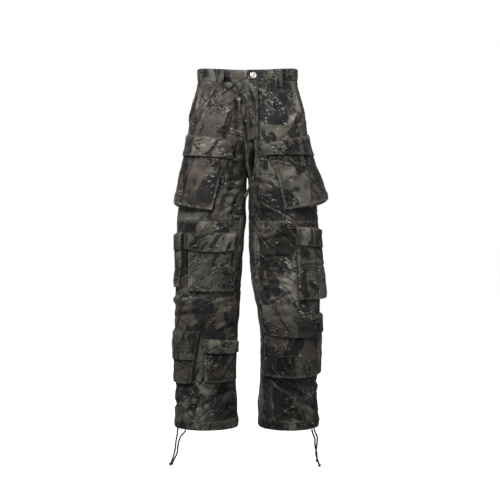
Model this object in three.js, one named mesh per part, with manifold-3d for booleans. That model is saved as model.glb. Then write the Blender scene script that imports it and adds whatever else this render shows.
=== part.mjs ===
// Camouflage cargo trousers, worn and hollow, with nothing inside them.
// Millimetres, +Z up. The front faces -Y and the wearer's left leg is on +X.
// The origin is the middle of the waist opening, half way up the waistband at the side seams.

import * as THREE from 'three';
import Module from 'manifold-3d';
import { mergeVertices } from 'three/addons/utils/BufferGeometryUtils.js';

const wasm = await Module();
wasm.setup();

// Driving sizes
const CLOTH = 1.5;
const BAND = 2.6;
const TRIM = 1.2;
const SEAM_GAP = 0.3;
const SEAT = CLOTH + 0.65;
const STACK_GAP = 0.55;
const BAND_HEIGHT = 39;
const FRONT_DIP = 19;
const BACK_RISE = 5;
const THIGH_SEAM = -308;
const KNEE_SEAM = -443;
const CASING_SEAM = -1035;
const HEM = -1063;
const MM_PER_DEGREE = 1.65;
const SIDE_SEAM = 90;
const RIGHT = -1;
const LEFT = 1;
const SIDE_NAMES = new Map([[RIGHT, 'right'], [LEFT, 'left']]);

// Mesh steps along and round the panels
const UPPER_ROWS = 11;
const THIGH_ROWS = 5;
const LOWER_ROWS = 20;
const FRONT_COLUMNS = 10;
const BACK_COLUMNS = 13;
const DEGREES_PER_COLUMN = 11;

// Each leg is an oval at every height: how far it reaches out and in from the middle plane,
// and how deep it is in front of and behind the side seams
const BODY = [
  { z: 45, rightOuter: 152, rightInner: -152, leftOuter: 152, leftInner: -152, front: 96, back: 100 },
  { z: -20, rightOuter: 149, rightInner: -149, leftOuter: 149, leftInner: -149, front: 99, back: 104 },
  { z: -60, rightOuter: 161, rightInner: -140, leftOuter: 159, leftInner: -140, front: 104, back: 112 },
  { z: -120, rightOuter: 175, rightInner: -104, leftOuter: 176, leftInner: -104, front: 112, back: 126 },
  { z: -180, rightOuter: 184, rightInner: -66, leftOuter: 184, leftInner: -66, front: 115, back: 130 },
  { z: -230, rightOuter: 189, rightInner: -34, leftOuter: 190, leftInner: -34, front: 114, back: 126 },
  { z: -270, rightOuter: 194, rightInner: -12, leftOuter: 196, leftInner: -12, front: 111, back: 119 },
  { z: -308, rightOuter: 198, rightInner: 1.9, leftOuter: 201, leftInner: 1.9, front: 108, back: 113 },
  { z: -350, rightOuter: 203, rightInner: 4.5, leftOuter: 206, leftInner: 4, front: 105, back: 108 },
  { z: -430, rightOuter: 212, rightInner: 6, leftOuter: 213, leftInner: 5, front: 101, back: 103 },
  { z: -510, rightOuter: 214, rightInner: 13, leftOuter: 216, leftInner: 5.5, front: 98, back: 99 },
  { z: -575, rightOuter: 214, rightInner: 17, leftOuter: 218, leftInner: 9, front: 95, back: 96 },
  { z: -620, rightOuter: 216, rightInner: 20, leftOuter: 219, leftInner: 14, front: 94, back: 95 },
  { z: -681, rightOuter: 219, rightInner: 25, leftOuter: 219, leftInner: 25, front: 92, back: 93 },
  { z: -758, rightOuter: 220, rightInner: 29, leftOuter: 218, leftInner: 38, front: 90, back: 91 },
  { z: -834, rightOuter: 218, rightInner: 35, leftOuter: 215, leftInner: 41, front: 88, back: 89 },
  { z: -895, rightOuter: 217, rightInner: 38, leftOuter: 212, leftInner: 41, front: 87, back: 88 },
  { z: -947, rightOuter: 217, rightInner: 37, leftOuter: 210, leftInner: 37, front: 86, back: 87 },
  { z: -1002, rightOuter: 219, rightInner: 33, leftOuter: 213, leftInner: 34, front: 86, back: 86 },
  { z: -1063, rightOuter: 219, rightInner: 31, leftOuter: 215, leftInner: 36, front: 85, back: 85 },
];

// Where the inseam runs on each leg, in degrees round from the middle of the leg's front
const INSEAM = [
  { z: -308, right: -90, left: -90 },
  { z: -443, right: -57, left: -54 },
  { z: -575, right: -61, left: -54 },
  { z: -769, right: -70, left: -57 },
  { z: -910, right: -78, left: -40 },
  { z: -1063, right: -78, left: -31 },
];

// The largest folds, each a soft ridge (height over 0) or trough from one place to another
const FOLDS = [
  { side: RIGHT, beta: 24, z: -50, toBeta: 2, toZ: -175, width: 17, height: 6 },
  { side: RIGHT, beta: 6, z: -60, toBeta: -14, toZ: -185, width: 15, height: -4 },
  { side: RIGHT, beta: -40, z: -335, toBeta: 2, toZ: -440, width: 18, height: -5 },
  { side: RIGHT, beta: -58, z: -690, toBeta: 10, toZ: -745, width: 20, height: 5 },
  { side: RIGHT, beta: -36, z: -935, toBeta: 24, toZ: -1005, width: 17, height: -5 },
  { side: RIGHT, beta: -58, z: -960, toBeta: 6, toZ: -1022, width: 15, height: 4 },
  { side: LEFT, beta: 52, z: -95, toBeta: 12, toZ: -195, width: 17, height: -5 },
  { side: LEFT, beta: 30, z: -70, toBeta: -6, toZ: -150, width: 17, height: 5 },
  { side: LEFT, beta: -40, z: -340, toBeta: 0, toZ: -432, width: 18, height: 5 },
  { side: LEFT, beta: -50, z: -560, toBeta: 4, toZ: -600, width: 18, height: -5 },
  { side: LEFT, beta: -58, z: -708, toBeta: 6, toZ: -690, width: 17, height: -6 },
  { side: LEFT, beta: -20, z: -935, toBeta: 58, toZ: -1000, width: 18, height: -5 },
  { side: RIGHT, beta: 245, z: -318, toBeta: 165, toZ: -352, width: 22, height: -8 },
  { side: LEFT, beta: 242, z: -322, toBeta: 160, toZ: -346, width: 22, height: -8 },
  { side: RIGHT, beta: 155, z: -575, toBeta: 250, toZ: -600, width: 21, height: -7 },
  { side: LEFT, beta: 150, z: -560, toBeta: 245, toZ: -610, width: 21, height: -7 },
  { side: RIGHT, beta: 140, z: -680, toBeta: 255, toZ: -650, width: 19, height: -6 },
  { side: LEFT, beta: 135, z: -700, toBeta: 240, toZ: -655, width: 19, height: -6 },
  { side: RIGHT, beta: 130, z: -985, toBeta: 240, toZ: -955, width: 19, height: -5 },
  { side: LEFT, beta: 140, z: -950, toBeta: 250, toZ: -985, width: 19, height: -5 },
];

// Bellows pockets with their flaps. A corner is [degrees round the leg, z]. Depths stand in order
// at the inner edge, at the crease where the pocket turns the leg's corner, and at the outer edge.
// The underside is how far the pocket's lower edge stands above its foot, inner and outer.
const POCKETS = [
  {
    name: 'hip_pocket', side: RIGHT, crease: 0.46, bow: 2, underside: [3, 14],
    topInner: [-21, -232], topOuter: [82, -203], footInner: [-2, -412], footOuter: [99, -391],
    topDepth: [4, 6, 3], footDepth: [7, 19, 15],
    flap: { topInner: [-9, -210], topOuter: [84, -178], endInner: [-23, -259], endOuter: [86, -244], bow: 3 },
  },
  {
    name: 'hip_pocket', side: LEFT, crease: 0.5, bow: 2, underside: [3, 17],
    topInner: [-13, -236], topOuter: [90, -203], footInner: [1, -412], footOuter: [104, -383],
    topDepth: [4, 6, 5], footDepth: [8, 24, 42],
    flap: { topInner: [-16, -223], topOuter: [91, -176], endInner: [-16, -250], endOuter: [92, -243], bow: 4 },
  },
  {
    name: 'knee_front_pocket', side: RIGHT, crease: 0.5, bow: 2, underside: [3, 3],
    topInner: [-47, -500], topOuter: [36, -500], footInner: [-49, -649], footOuter: [31, -649],
    topDepth: [5, 5, 5], footDepth: [8, 10, 8],
    flap: { topInner: [-53, -479], topOuter: [42, -479], endInner: [-51, -525], endOuter: [40, -525], bow: 10 },
  },
  {
    name: 'knee_side_pocket', side: RIGHT, crease: 0.5, bow: 2, underside: [3, 3],
    topInner: [53, -500], topOuter: [128, -500], footInner: [53, -639], footOuter: [128, -639],
    topDepth: [4, 5, 4], footDepth: [8, 9, 8],
    flap: { topInner: [50, -477], topOuter: [131, -477], endInner: [51, -526], endOuter: [130, -526], bow: 5 },
  },
  {
    name: 'knee_side_pocket', side: LEFT, crease: 0.42, bow: 2, underside: [3, 4],
    topInner: [20, -486], topOuter: [113, -488], footInner: [18, -676], footOuter: [114, -669],
    topDepth: [5, 6, 5], footDepth: [9, 21, 17],
    flap: { topInner: [18, -461], topOuter: [116, -464], endInner: [17, -514], endOuter: [117, -521], bow: 3 },
  },
  {
    name: 'calf_inner_pocket', side: RIGHT, crease: 0.5, bow: 2, underside: [3, 3],
    topInner: [-72, -812], topOuter: [-1, -808], footInner: [-72, -918], footOuter: [-1, -919],
    topDepth: [5, 5, 5], footDepth: [7, 8, 7],
    flap: { topInner: [-75, -801], topOuter: [4, -792], endInner: [-75, -835], endOuter: [1, -831], bow: 3 },
  },
  {
    name: 'calf_outer_pocket', side: RIGHT, crease: 0.5, bow: 1, underside: [3, 3],
    topInner: [14, -795], topOuter: [112, -792], footInner: [24, -924], footOuter: [112, -927],
    topDepth: [5, 5, 4], footDepth: [8, 9, 7],
    flap: { topInner: [9, -770], topOuter: [115, -768], endInner: [16, -853], endOuter: [115, -857], bow: 1 },
  },
  {
    name: 'calf_front_pocket', side: LEFT, crease: 0.5, bow: 6, underside: [3, 4],
    topInner: [-55, -744], topOuter: [86, -740], footInner: [-56, -903], footOuter: [86, -898],
    topDepth: [5, 6, 5], footDepth: [8, 12, 9],
    flap: { topInner: [-58, -725], topOuter: [89, -719], endInner: [-60, -772], endOuter: [90, -766], bow: 18 },
  },
];

// Belt loops, by their place round the waist
const LOOPS = [
  { name: 'belt_loop_front_right', side: RIGHT, beta: 31 },
  { name: 'belt_loop_front_left', side: LEFT, beta: 36 },
  { name: 'belt_loop_side_right', side: RIGHT, beta: 125 },
  { name: 'belt_loop_side_left', side: LEFT, beta: 125 },
  { name: 'belt_loop_back', side: LEFT, beta: 180 },
];
// The gusset of a pocket stands within this many degrees of its edge, and a flap rises from its
// seam to the pocket's face in this share of its height
const GUSSET_DEGREES = 1.8;
const FLAP_RISE = 0.14;

const LOOP_WIDTH = 24;
const LOOP_TAIL = 17;
const LOOP_BULGE = 8;
const LOOP_SEAT = SEAT + 0.6;

// Elastic gathers of the waistband, at the sides of the front and all across the back
const GATHER_START = 47;
const FRONT_GATHERS = 5;
const BACK_GATHERS = 24;
const GATHER_HEIGHT = 2.2;
const COLUMNS_PER_GATHER = 3;

// Fly, button and slash pocket welts; the right end of the waistband laps under the left one
const FLY = { inner: 3, outer: 31, length: 168, curve: 0.24 };
const FLY_SEAT = SEAT + 0.5;
const UNDERLAP = 24;
const OVERLAP = 42;
const OVERLAP_EASE = 16;
const BAND_START = 1.5;
const BUTTON = { beta: 6.5, z: -17.5, radius: 9.6, height: 4, rim: 1.6 };
const WELTS = [
  { side: RIGHT, beta: 36, z: -56, toBeta: 51, toZ: -146 },
  { side: LEFT, beta: 44, z: -56, toBeta: 57, toZ: -146 },
];
const WELT_WIDTH = 8;
const WELT_SEAT = SEAT + 0.5;

// Drawcords, each from its exit to its free end
const WAIST_CORD = 7;
const HEM_CORD = 4;
const CORDS = [
  {
    name: 'waist_cord_right', diameter: WAIST_CORD, steps: 24,
    route: [[-47.5, -93.5, -27], [-47.5, -100, -27], [-46, -106, -29], [-41.5, -110, -34.5],
      [-35, -112.5, -45], [-28.5, -113.5, -60], [-26, -115, -78], [-24, -117, -97], [-20, -120, -130],
      [-16, -123, -165], [-13, -124, -185], [-6, -123, -207], [-3, -122, -235], [-1, -122, -262],
      [1, -121, -285], [6, -121, -308], [12, -121, -333], [21, -119, -368], [31, -118, -404]],
  },
  {
    name: 'waist_cord_left', diameter: WAIST_CORD, steps: 20,
    route: [[28.5, -107.7, -38.7], [28.5, -108.6, -46], [28.5, -112, -62], [28.5, -118, -90],
      [28.5, -122, -125], [28.5, -123.5, -160], [28, -123.5, -195], [28, -121.5, -230],
      [25.5, -117, -262], [22, -113, -292], [18, -110.5, -313], [10, -110, -335], [2, -111, -355],
      [-7, -112, -375]],
  },
  {
    name: 'hem_cord_right_outer', diameter: HEM_CORD, steps: 12,
    route: [[-209.4, -40, -1063.8], [-209.6, -40, -1069], [-211, -39, -1082], [-215, -36, -1104],
      [-219, -36, -1135], [-225, -37, -1156], [-233, -38, -1176]],
  },
  {
    name: 'hem_cord_right_inner', diameter: HEM_CORD, steps: 12,
    route: [[-184.3, -67.6, -1063.8], [-185, -67.5, -1068], [-191, -66, -1075], [-200, -60, -1086],
      [-207, -54, -1110], [-211, -49, -1137], [-219, -46, -1155], [-228, -45, -1172]],
  },
  {
    name: 'hem_cord_left_outer', diameter: HEM_CORD, steps: 12,
    route: [[199.8, -49.6, -1063.8], [200.4, -49.5, -1069], [204.5, -49, -1078], [209, -47, -1091],
      [208, -46, -1113], [205, -47, -1139], [210, -48, -1158], [217, -49, -1177]],
  },
  {
    name: 'hem_cord_left_inner', diameter: HEM_CORD, steps: 12,
    route: [[192.3, -58.4, -1063.8], [192.9, -58.3, -1069], [196, -57.5, -1079], [201, -55, -1092],
      [202, -53, -1113], [207, -54, -1137], [208, -55, -1160]],
  },
];
const CORD_SIDES = 8;
// The slot in the waistband that the right end of the drawcord comes out of
const CORD_SLOT = { x: -55.3, y: -98, z: -27.8, width: 26, depth: 30, height: 9 };

const lerp = THREE.MathUtils.lerp;
const clamp = THREE.MathUtils.clamp;
const radians = THREE.MathUtils.degToRad;
const smooth = (t) => THREE.MathUtils.smoothstep(t, 0, 1);

// A smooth value of one column of a table whose rows run downwards
function column(table, name, z) {
  const last = table.length - 1;
  const height = clamp(z, table[last].z, table[0].z);
  let row = 0;
  while (row < last - 1 && table[row + 1].z > height) row += 1;
  const slope = (k) => {
    const above = table[Math.max(k - 1, 0)];
    const below = table[Math.min(k + 1, last)];
    return (below[name] - above[name]) / (below.z - above.z);
  };
  const [a, b] = [table[row], table[row + 1]];
  const span = b.z - a.z;
  const t = (height - a.z) / span;
  const ease = t * t * (3 - 2 * t);
  return lerp(a[name], b[name], ease)
    + span * t * (1 - t) * ((1 - t) * slope(row) - t * slope(row + 1));
}

function legOval(side, z) {
  const leg = SIDE_NAMES.get(side);
  const outer = column(BODY, `${leg}Outer`, z);
  const inner = column(BODY, `${leg}Inner`, z);
  return {
    middle: (outer + inner) / 2,
    halfWidth: (outer - inner) / 2,
    front: column(BODY, 'front', z),
    back: column(BODY, 'back', z),
  };
}

// Degrees round the leg at a distance from the middle plane, on the front of it
function betaAt(side, x, z) {
  const { middle, halfWidth } = legOval(side, z);
  return THREE.MathUtils.radToDeg(Math.asin(clamp((x - middle) / halfWidth, -1, 1)));
}

// Where a place on the leg falls across (u) and down (v) a pocket, 0 to 1 inside it
function placeOn(pocket, beta, z) {
  let u = 0.5;
  let v = 0.5;
  for (let turn = 0; turn < 5; turn += 1) {
    const top = lerp(pocket.topInner[1], pocket.topOuter[1], u);
    const foot = lerp(pocket.footInner[1], pocket.footOuter[1], u);
    v = (top - z) / (top - foot);
    const inner = lerp(pocket.topInner[0], pocket.footInner[0], v);
    const outer = lerp(pocket.topOuter[0], pocket.footOuter[0], v);
    u = (beta - inner) / (outer - inner);
  }
  return { u, v };
}

// 1 on open cloth, 0 under a pocket and its flap, where the cloth lies smooth
function openCloth(side, beta, z) {
  let open = 1;
  for (const pocket of POCKETS.filter((item) => item.side === side)) {
    const turned = beta > 200 ? beta - 360 : beta;
    const { u, v } = placeOn(pocket, turned, z);
    const across = Math.max(Math.abs(u - 0.5) - 0.56, 0) / 0.12;
    const down = Math.max(Math.abs(v - 0.4) - 0.66, 0) / 0.12;
    open *= smooth(Math.hypot(across, down));
  }
  return open;
}

function foldHeight(side, beta, z) {
  let height = 0;
  for (const fold of FOLDS) {
    if (fold.side !== side) continue;
    const along = new THREE.Vector2((fold.toBeta - fold.beta) * MM_PER_DEGREE, fold.toZ - fold.z);
    const place = new THREE.Vector2((beta - fold.beta) * MM_PER_DEGREE, z - fold.z);
    const t = clamp(place.dot(along) / along.lengthSq(), 0, 1);
    const away = place.distanceTo(along.multiplyScalar(t)) / fold.width;
    height += fold.height * Math.exp(-away * away);
  }
  return height === 0 ? 0 : height * openCloth(side, beta, z);
}

function plainSurface(side, beta, z) {
  const { middle, halfWidth, front, back } = legOval(side, z);
  const angle = radians(beta);
  const depth = Math.cos(angle) > 0 ? front : back;
  return new THREE.Vector3(side * (middle + halfWidth * Math.sin(angle)), -depth * Math.cos(angle), z);
}

function outward(side, beta, z) {
  const round = plainSurface(side, beta + 0.5, z).sub(plainSurface(side, beta - 0.5, z));
  const up = plainSurface(side, beta, z + 1).sub(plainSurface(side, beta, z - 1));
  return round.cross(up).multiplyScalar(side).normalize();
}

// A point of the cloth's inner face, moved out by a height
function raised(side, beta, z, height) {
  const turned = beta < -90 ? beta + 360 : beta;
  const centre = smooth((Math.abs(plainSurface(side, beta, z).x) - FLY.outer - 4) / 24);
  const fold = foldHeight(side, turned, z) * (z > THIGH_SEAM ? centre : 1);
  return plainSurface(side, beta, z).addScaledVector(outward(side, beta, z), height + fold);
}

// Degrees round the leg where the front or back meets its neighbour at the middle plane
function centreBeta(side, z, isBack) {
  let x = SEAM_GAP / 2;
  let beta = 0;
  for (let turn = 0; turn < 4; turn += 1) {
    beta = betaAt(side, x, z);
    beta = isBack ? 180 - beta : beta;
    x = SEAM_GAP / 2 + CLOTH * Math.max(0, -outward(side, beta, z).x * side);
  }
  return beta;
}

// Height of the waistband's middle line round the waist
function waistLine(beta) {
  const facing = Math.cos(radians(beta));
  return facing > 0 ? -FRONT_DIP * facing * facing : BACK_RISE * facing * facing;
}

// A closed wall between two grids of points, open along its edges unless it is a ring
function wall(inner, outer, isRing = false) {
  const rows = inner.length;
  const columns = inner[0].length;
  const positions = [...inner.flat(), ...outer.flat()].flatMap((point) => point.toArray());
  const at = (layer, row, col) => (layer * rows + row) * columns + (col % columns);
  const faces = [];
  const quad = (a, b, c, d) => faces.push(a, b, c, a, c, d);
  const lastColumn = isRing ? columns : columns - 1;
  for (let row = 0; row < rows - 1; row += 1) {
    for (let col = 0; col < lastColumn; col += 1) {
      quad(at(1, row, col), at(1, row + 1, col), at(1, row + 1, col + 1), at(1, row, col + 1));
      quad(at(0, row, col), at(0, row, col + 1), at(0, row + 1, col + 1), at(0, row + 1, col));
    }
  }
  for (let col = 0; col < lastColumn; col += 1) {
    quad(at(0, 0, col), at(1, 0, col), at(1, 0, col + 1), at(0, 0, col + 1));
    quad(at(1, rows - 1, col), at(0, rows - 1, col), at(0, rows - 1, col + 1), at(1, rows - 1, col + 1));
  }
  for (let row = 0; row < rows - 1 && !isRing; row += 1) {
    quad(at(1, row, 0), at(0, row, 0), at(0, row + 1, 0), at(1, row + 1, 0));
    quad(at(0, row, columns - 1), at(1, row, columns - 1), at(1, row + 1, columns - 1),
      at(0, row + 1, columns - 1));
  }
  const geometry = new THREE.BufferGeometry();
  geometry.setAttribute('position', new THREE.Float32BufferAttribute(positions, 3));
  geometry.setIndex(faces);
  return facingOut(geometry);
}

function facingOut(geometry) {
  const position = geometry.getAttribute('position');
  const index = geometry.getIndex();
  const [a, b, c] = [new THREE.Vector3(), new THREE.Vector3(), new THREE.Vector3()];
  let volume = 0;
  for (let k = 0; k < index.count; k += 3) {
    a.fromBufferAttribute(position, index.getX(k));
    b.fromBufferAttribute(position, index.getX(k + 1));
    c.fromBufferAttribute(position, index.getX(k + 2));
    volume += a.dot(b.cross(c));
  }
  if (volume < 0) {
    const order = Array.from(index.array);
    for (let k = 0; k < order.length; k += 3) [order[k + 1], order[k + 2]] = [order[k + 2], order[k + 1]];
    geometry.setIndex(order);
  }
  geometry.computeVertexNormals();
  return geometry;
}

// Points moved along their own sheet's normal, which faces the same way as the leg's
function thickened(points, facing, thickness) {
  const last = points.length - 1;
  return points.map((line, row) => line.map((point, col) => {
    const down = points[Math.min(row + 1, last)][col].clone().sub(points[Math.max(row - 1, 0)][col]);
    const across = line[Math.min(col + 1, line.length - 1)].clone().sub(line[Math.max(col - 1, 0)]);
    const normal = across.cross(down).normalize();
    if (normal.dot(facing[row][col]) < 0) normal.negate();
    return point.clone().addScaledVector(normal, thickness);
  }));
}

const group = new THREE.Group();

const COLOURS = {
  camo: { color: 0x4a4944, roughness: 0.92, metalness: 0 },
  pocket: { color: 0x55534c, roughness: 0.92, metalness: 0 },
  flap: { color: 0x5d5a52, roughness: 0.92, metalness: 0 },
  cord: { color: 0x3d3f39, roughness: 0.85, metalness: 0 },
  metal: { color: 0xd8d8d6, roughness: 0.25, metalness: 1 },
};

function addPiece(name, geometry, colour) {
  const mesh = new THREE.Mesh(geometry, new THREE.MeshStandardMaterial(COLOURS[colour]));
  mesh.name = name;
  group.add(mesh);
}

// A grid of cloth points: betas and heights come from functions of the row and column
function panelWall(rows, columns, betaOf, zOf, thickness, lift = () => 0) {
  const inner = [];
  const outer = [];
  for (let row = 0; row <= rows; row += 1) {
    const lines = [[], []];
    for (let col = 0; col <= columns; col += 1) {
      const { side, beta, z } = place(row / rows, col / columns, betaOf, zOf);
      const height = lift(beta, z);
      lines[0].push(raised(side, beta, z, height));
      lines[1].push(raised(side, beta, z, height + thickness));
    }
    inner.push(lines[0]);
    outer.push(lines[1]);
  }
  return wall(inner, outer);
}

function place(v, u, betaOf, zOf) {
  let z = zOf(v, 0);
  let spot = betaOf(v, u, z);
  for (let turn = 0; turn < 2; turn += 1) {
    z = zOf(v, spot.beta);
    spot = betaOf(v, u, z);
  }
  return { side: spot.side, beta: spot.beta, z };
}

const edgeDegrees = SEAM_GAP / 2 / MM_PER_DEGREE;

function inseamBeta(side, z) {
  return column(INSEAM, SIDE_NAMES.get(side), z);
}

function innerEdge(side, z, isBack) {
  if (z > THIGH_SEAM) return centreBeta(side, z, isBack);
  return isBack ? 360 + inseamBeta(side, z) - edgeDegrees : inseamBeta(side, z) + edgeDegrees;
}

function panelTop(beta) {
  return waistLine(beta) - BAND_HEIGHT / 2 - SEAM_GAP;
}

function addFrontPanels(side) {
  const leg = SIDE_NAMES.get(side);
  const betaOf = (v, u, z) => ({ side, beta: lerp(innerEdge(side, z, false), SIDE_SEAM - edgeDegrees, u) });
  const between = (top, foot) => (v, beta) => lerp(top(beta), foot, v);
  const half = SEAM_GAP / 2;
  addPiece(`front_upper_${leg}`, panelWall(UPPER_ROWS, FRONT_COLUMNS, betaOf,
    between(panelTop, THIGH_SEAM + half), CLOTH), 'camo');
  addPiece(`front_thigh_${leg}`, panelWall(THIGH_ROWS, FRONT_COLUMNS, betaOf,
    between(() => THIGH_SEAM - half, KNEE_SEAM + half), CLOTH), 'camo');
  addPiece(`front_lower_${leg}`, panelWall(LOWER_ROWS, FRONT_COLUMNS, betaOf,
    between(() => KNEE_SEAM - half, CASING_SEAM + half), CLOTH), 'camo');
}

function addBackPanel(side) {
  const rows = UPPER_ROWS + THIGH_ROWS + LOWER_ROWS;
  const betaOf = (v, u, z) => ({ side, beta: lerp(SIDE_SEAM + edgeDegrees, innerEdge(side, z, true), u) });
  const zOf = (v, beta) => {
    const row = v * rows;
    if (row <= UPPER_ROWS) return lerp(panelTop(beta), THIGH_SEAM, row / UPPER_ROWS);
    if (row <= UPPER_ROWS + THIGH_ROWS) return lerp(THIGH_SEAM, KNEE_SEAM, (row - UPPER_ROWS) / THIGH_ROWS);
    return lerp(KNEE_SEAM, CASING_SEAM + SEAM_GAP / 2, (row - UPPER_ROWS - THIGH_ROWS) / LOWER_ROWS);
  };
  addPiece(`back_${SIDE_NAMES.get(side)}`, panelWall(rows, BACK_COLUMNS, betaOf, zOf, CLOTH), 'camo');
}

// Outward puffs of the elastic, counted from where they start
function gatherLift(beta, start, end, count) {
  const t = (beta - start) / (end - start);
  if (t <= 0 || t >= 1) return 0;
  return GATHER_HEIGHT * (1 - Math.cos(t * count * 2 * Math.PI)) / 2;
}

function bandZ(v, beta) {
  return waistLine(beta) + lerp(BAND_HEIGHT / 2, -BAND_HEIGHT / 2, v);
}

function bandLift(side, beta) {
  const lap = BAND + SEAM_GAP;
  const x = plainSurface(LEFT, beta, 0).x;
  const over = side === LEFT ? lap * (1 - smooth((x - OVERLAP) / OVERLAP_EASE)) : 0;
  return over + gatherLift(beta, GATHER_START, SIDE_SEAM, FRONT_GATHERS);
}

function addWaistband() {
  const plainColumns = 6;
  const columns = plainColumns + FRONT_GATHERS * COLUMNS_PER_GATHER;
  const spread = (u, from) => {
    const part = plainColumns / columns;
    return u < part ? lerp(from, GATHER_START, u / part)
      : lerp(GATHER_START, SIDE_SEAM - edgeDegrees, (u - part) / (1 - part));
  };
  for (const side of [RIGHT, LEFT]) {
    const start = side === RIGHT ? betaAt(side, -UNDERLAP, 0) : betaAt(side, BAND_START, 0);
    const band = panelWall(2, columns, (v, u) => ({ side, beta: spread(u, start) }), bandZ, BAND,
      (beta) => bandLift(side, beta));
    addPiece(`waistband_front_${SIDE_NAMES.get(side)}`, side === RIGHT ? withCordSlot(band) : band, 'camo');
  }
  const backColumns = BACK_GATHERS * COLUMNS_PER_GATHER;
  const from = SIDE_SEAM + edgeDegrees;
  const to = 360 - from;
  addPiece('waistband_back', panelWall(2, backColumns, (v, u) => ({ side: LEFT, beta: lerp(from, to, u) }),
    bandZ, BAND, (beta) => gatherLift(beta, from, to, BACK_GATHERS)), 'camo');
}

function solidOf(geometry) {
  const bare = geometry.clone();
  bare.deleteAttribute('normal');
  bare.deleteAttribute('uv');
  const merged = mergeVertices(bare, 1e-4);
  return new wasm.Manifold(new wasm.Mesh({
    numProp: 3,
    vertProperties: new Float32Array(merged.getAttribute('position').array),
    triVerts: new Uint32Array(merged.getIndex().array),
  }));
}

// The waistband with the slot that its drawcord comes out of
function withCordSlot(band) {
  const slot = new THREE.BoxGeometry(CORD_SLOT.width, CORD_SLOT.depth, CORD_SLOT.height);
  slot.translate(CORD_SLOT.x, CORD_SLOT.y, CORD_SLOT.z);
  const cut = solidOf(band).subtract(solidOf(slot)).getMesh();
  const geometry = new THREE.BufferGeometry();
  geometry.setAttribute('position', new THREE.Float32BufferAttribute(cut.vertProperties, cut.numProp));
  geometry.setIndex(Array.from(cut.triVerts));
  return geometry;
}

function addBeltLoop({ name, side, beta }) {
  const rows = 7;
  const clear = GATHER_HEIGHT + BAND + 2 * STACK_GAP;
  const oval = legOval(side, 0);
  const perDegree = radians(1) * Math.hypot(oval.halfWidth * Math.cos(radians(beta)),
    oval.front * Math.sin(radians(beta)));
  const halfDegrees = LOOP_WIDTH / 2 / perDegree;
  const [inner, facing] = [[], []];
  for (let row = 0; row <= rows; row += 1) {
    const t = row / rows;
    const line = [-1, 0, 1].map((k) => {
      const turn = beta + k * halfDegrees;
      const z = waistLine(turn) + lerp(BAND_HEIGHT / 2 - 1, -BAND_HEIGHT / 2 - LOOP_TAIL, t);
      const isGathered = beta > GATHER_START;
      const overBand = isGathered ? clear : BAND + STACK_GAP;
      const seat = lerp(overBand, LOOP_SEAT, smooth((t - 0.68) / 0.22));
      return { turn, z, height: seat + LOOP_BULGE * Math.sin(Math.PI * t) };
    });
    inner.push(line.map(({ turn, z, height }) => raised(side, turn, z, height)));
    facing.push(line.map(({ turn, z }) => outward(side, turn, z)));
  }
  addPiece(name, wall(inner, thickened(inner, facing, CLOTH)), 'flap');
}

function depthOf(pocket, u, v) {
  const across = (depths) => (u < pocket.crease
    ? lerp(depths[0], depths[1], smooth(u / pocket.crease))
    : lerp(depths[1], depths[2], smooth((u - pocket.crease) / (1 - pocket.crease))));
  return lerp(across(pocket.topDepth), across(pocket.footDepth), clamp(v, 0, 1));
}

const pocketCorner = (pocket, u, v) => [0, 1].map((k) => lerp(
  lerp(pocket.topInner[k], pocket.topOuter[k], u), lerp(pocket.footInner[k], pocket.footOuter[k], u), v));

// The pocket is a tray of cloth, open at its mouth and towards the leg
function addPocket(pocket) {
  const faceRows = 5;
  const width = pocket.topOuter[0] - pocket.topInner[0];
  const edge = GUSSET_DEGREES / width;
  const faceColumns = Math.round(width / DEGREES_PER_COLUMN);
  const faceUs = Array.from({ length: faceColumns + 1 }, (_, k) => lerp(edge, 1 - edge, k / faceColumns));
  const us = [0, ...faceUs, 1];
  const tall = pocket.topInner[1] - pocket.footInner[1];
  const [inner, facing] = [[], []];
  for (let row = 0; row <= faceRows + 1; row += 1) {
    const isFoot = row > faceRows;
    const line = us.map((u, col) => {
      const underside = lerp(pocket.underside[0], pocket.underside[1], u) / tall;
      const v = isFoot ? 1 : lerp(0, 1 - underside, row / faceRows);
      const [beta, z] = pocketCorner(pocket, u, v);
      const isEdge = isFoot || col === 0 || col === us.length - 1;
      const bow = pocket.bow * 4 * u * (1 - u) * v;
      return { beta, z: z - bow, height: SEAT + (isEdge ? 0 : depthOf(pocket, u, v)) };
    });
    inner.push(line.map(({ beta, z, height }) => raised(pocket.side, beta, z, height)));
    facing.push(line.map(({ beta, z }) => outward(pocket.side, beta, z)));
  }
  addPiece(`${pocket.name}_${SIDE_NAMES.get(pocket.side)}`,
    wall(inner, thickened(inner, facing, CLOTH)), 'pocket');
}

// The flap is sewn to the leg above the pocket's mouth and lies over its top
function addFlap(pocket) {
  const { flap, side } = pocket;
  const columns = Math.round((flap.topOuter[0] - flap.topInner[0]) / DEGREES_PER_COLUMN);
  const rowPlaces = [0, FLAP_RISE, 0.32, 0.66, 1];
  const [inner, facing] = [[], []];
  for (const t of rowPlaces) {
    const line = Array.from({ length: columns + 1 }, (_, col) => {
      const s = col / columns;
      const [beta, straight] = [0, 1].map((k) => lerp(
        lerp(flap.topInner[k], flap.topOuter[k], s), lerp(flap.endInner[k], flap.endOuter[k], s), t));
      const z = straight - flap.bow * 4 * s * (1 - s) * t;
      const { u, v } = placeOn(pocket, beta, z);
      const cover = depthOf(pocket, clamp(u, 0.03, 0.97), v) + CLOTH + STACK_GAP;
      return { beta, z, height: SEAT + cover * smooth(t / FLAP_RISE) + t };
    });
    inner.push(line.map(({ beta, z, height }) => raised(side, beta, z, height)));
    facing.push(line.map(({ beta, z }) => outward(side, beta, z)));
  }
  addPiece(`${pocket.name}_flap_${SIDE_NAMES.get(side)}`,
    wall(inner, thickened(inner, facing, CLOTH)), 'flap');
}

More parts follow.
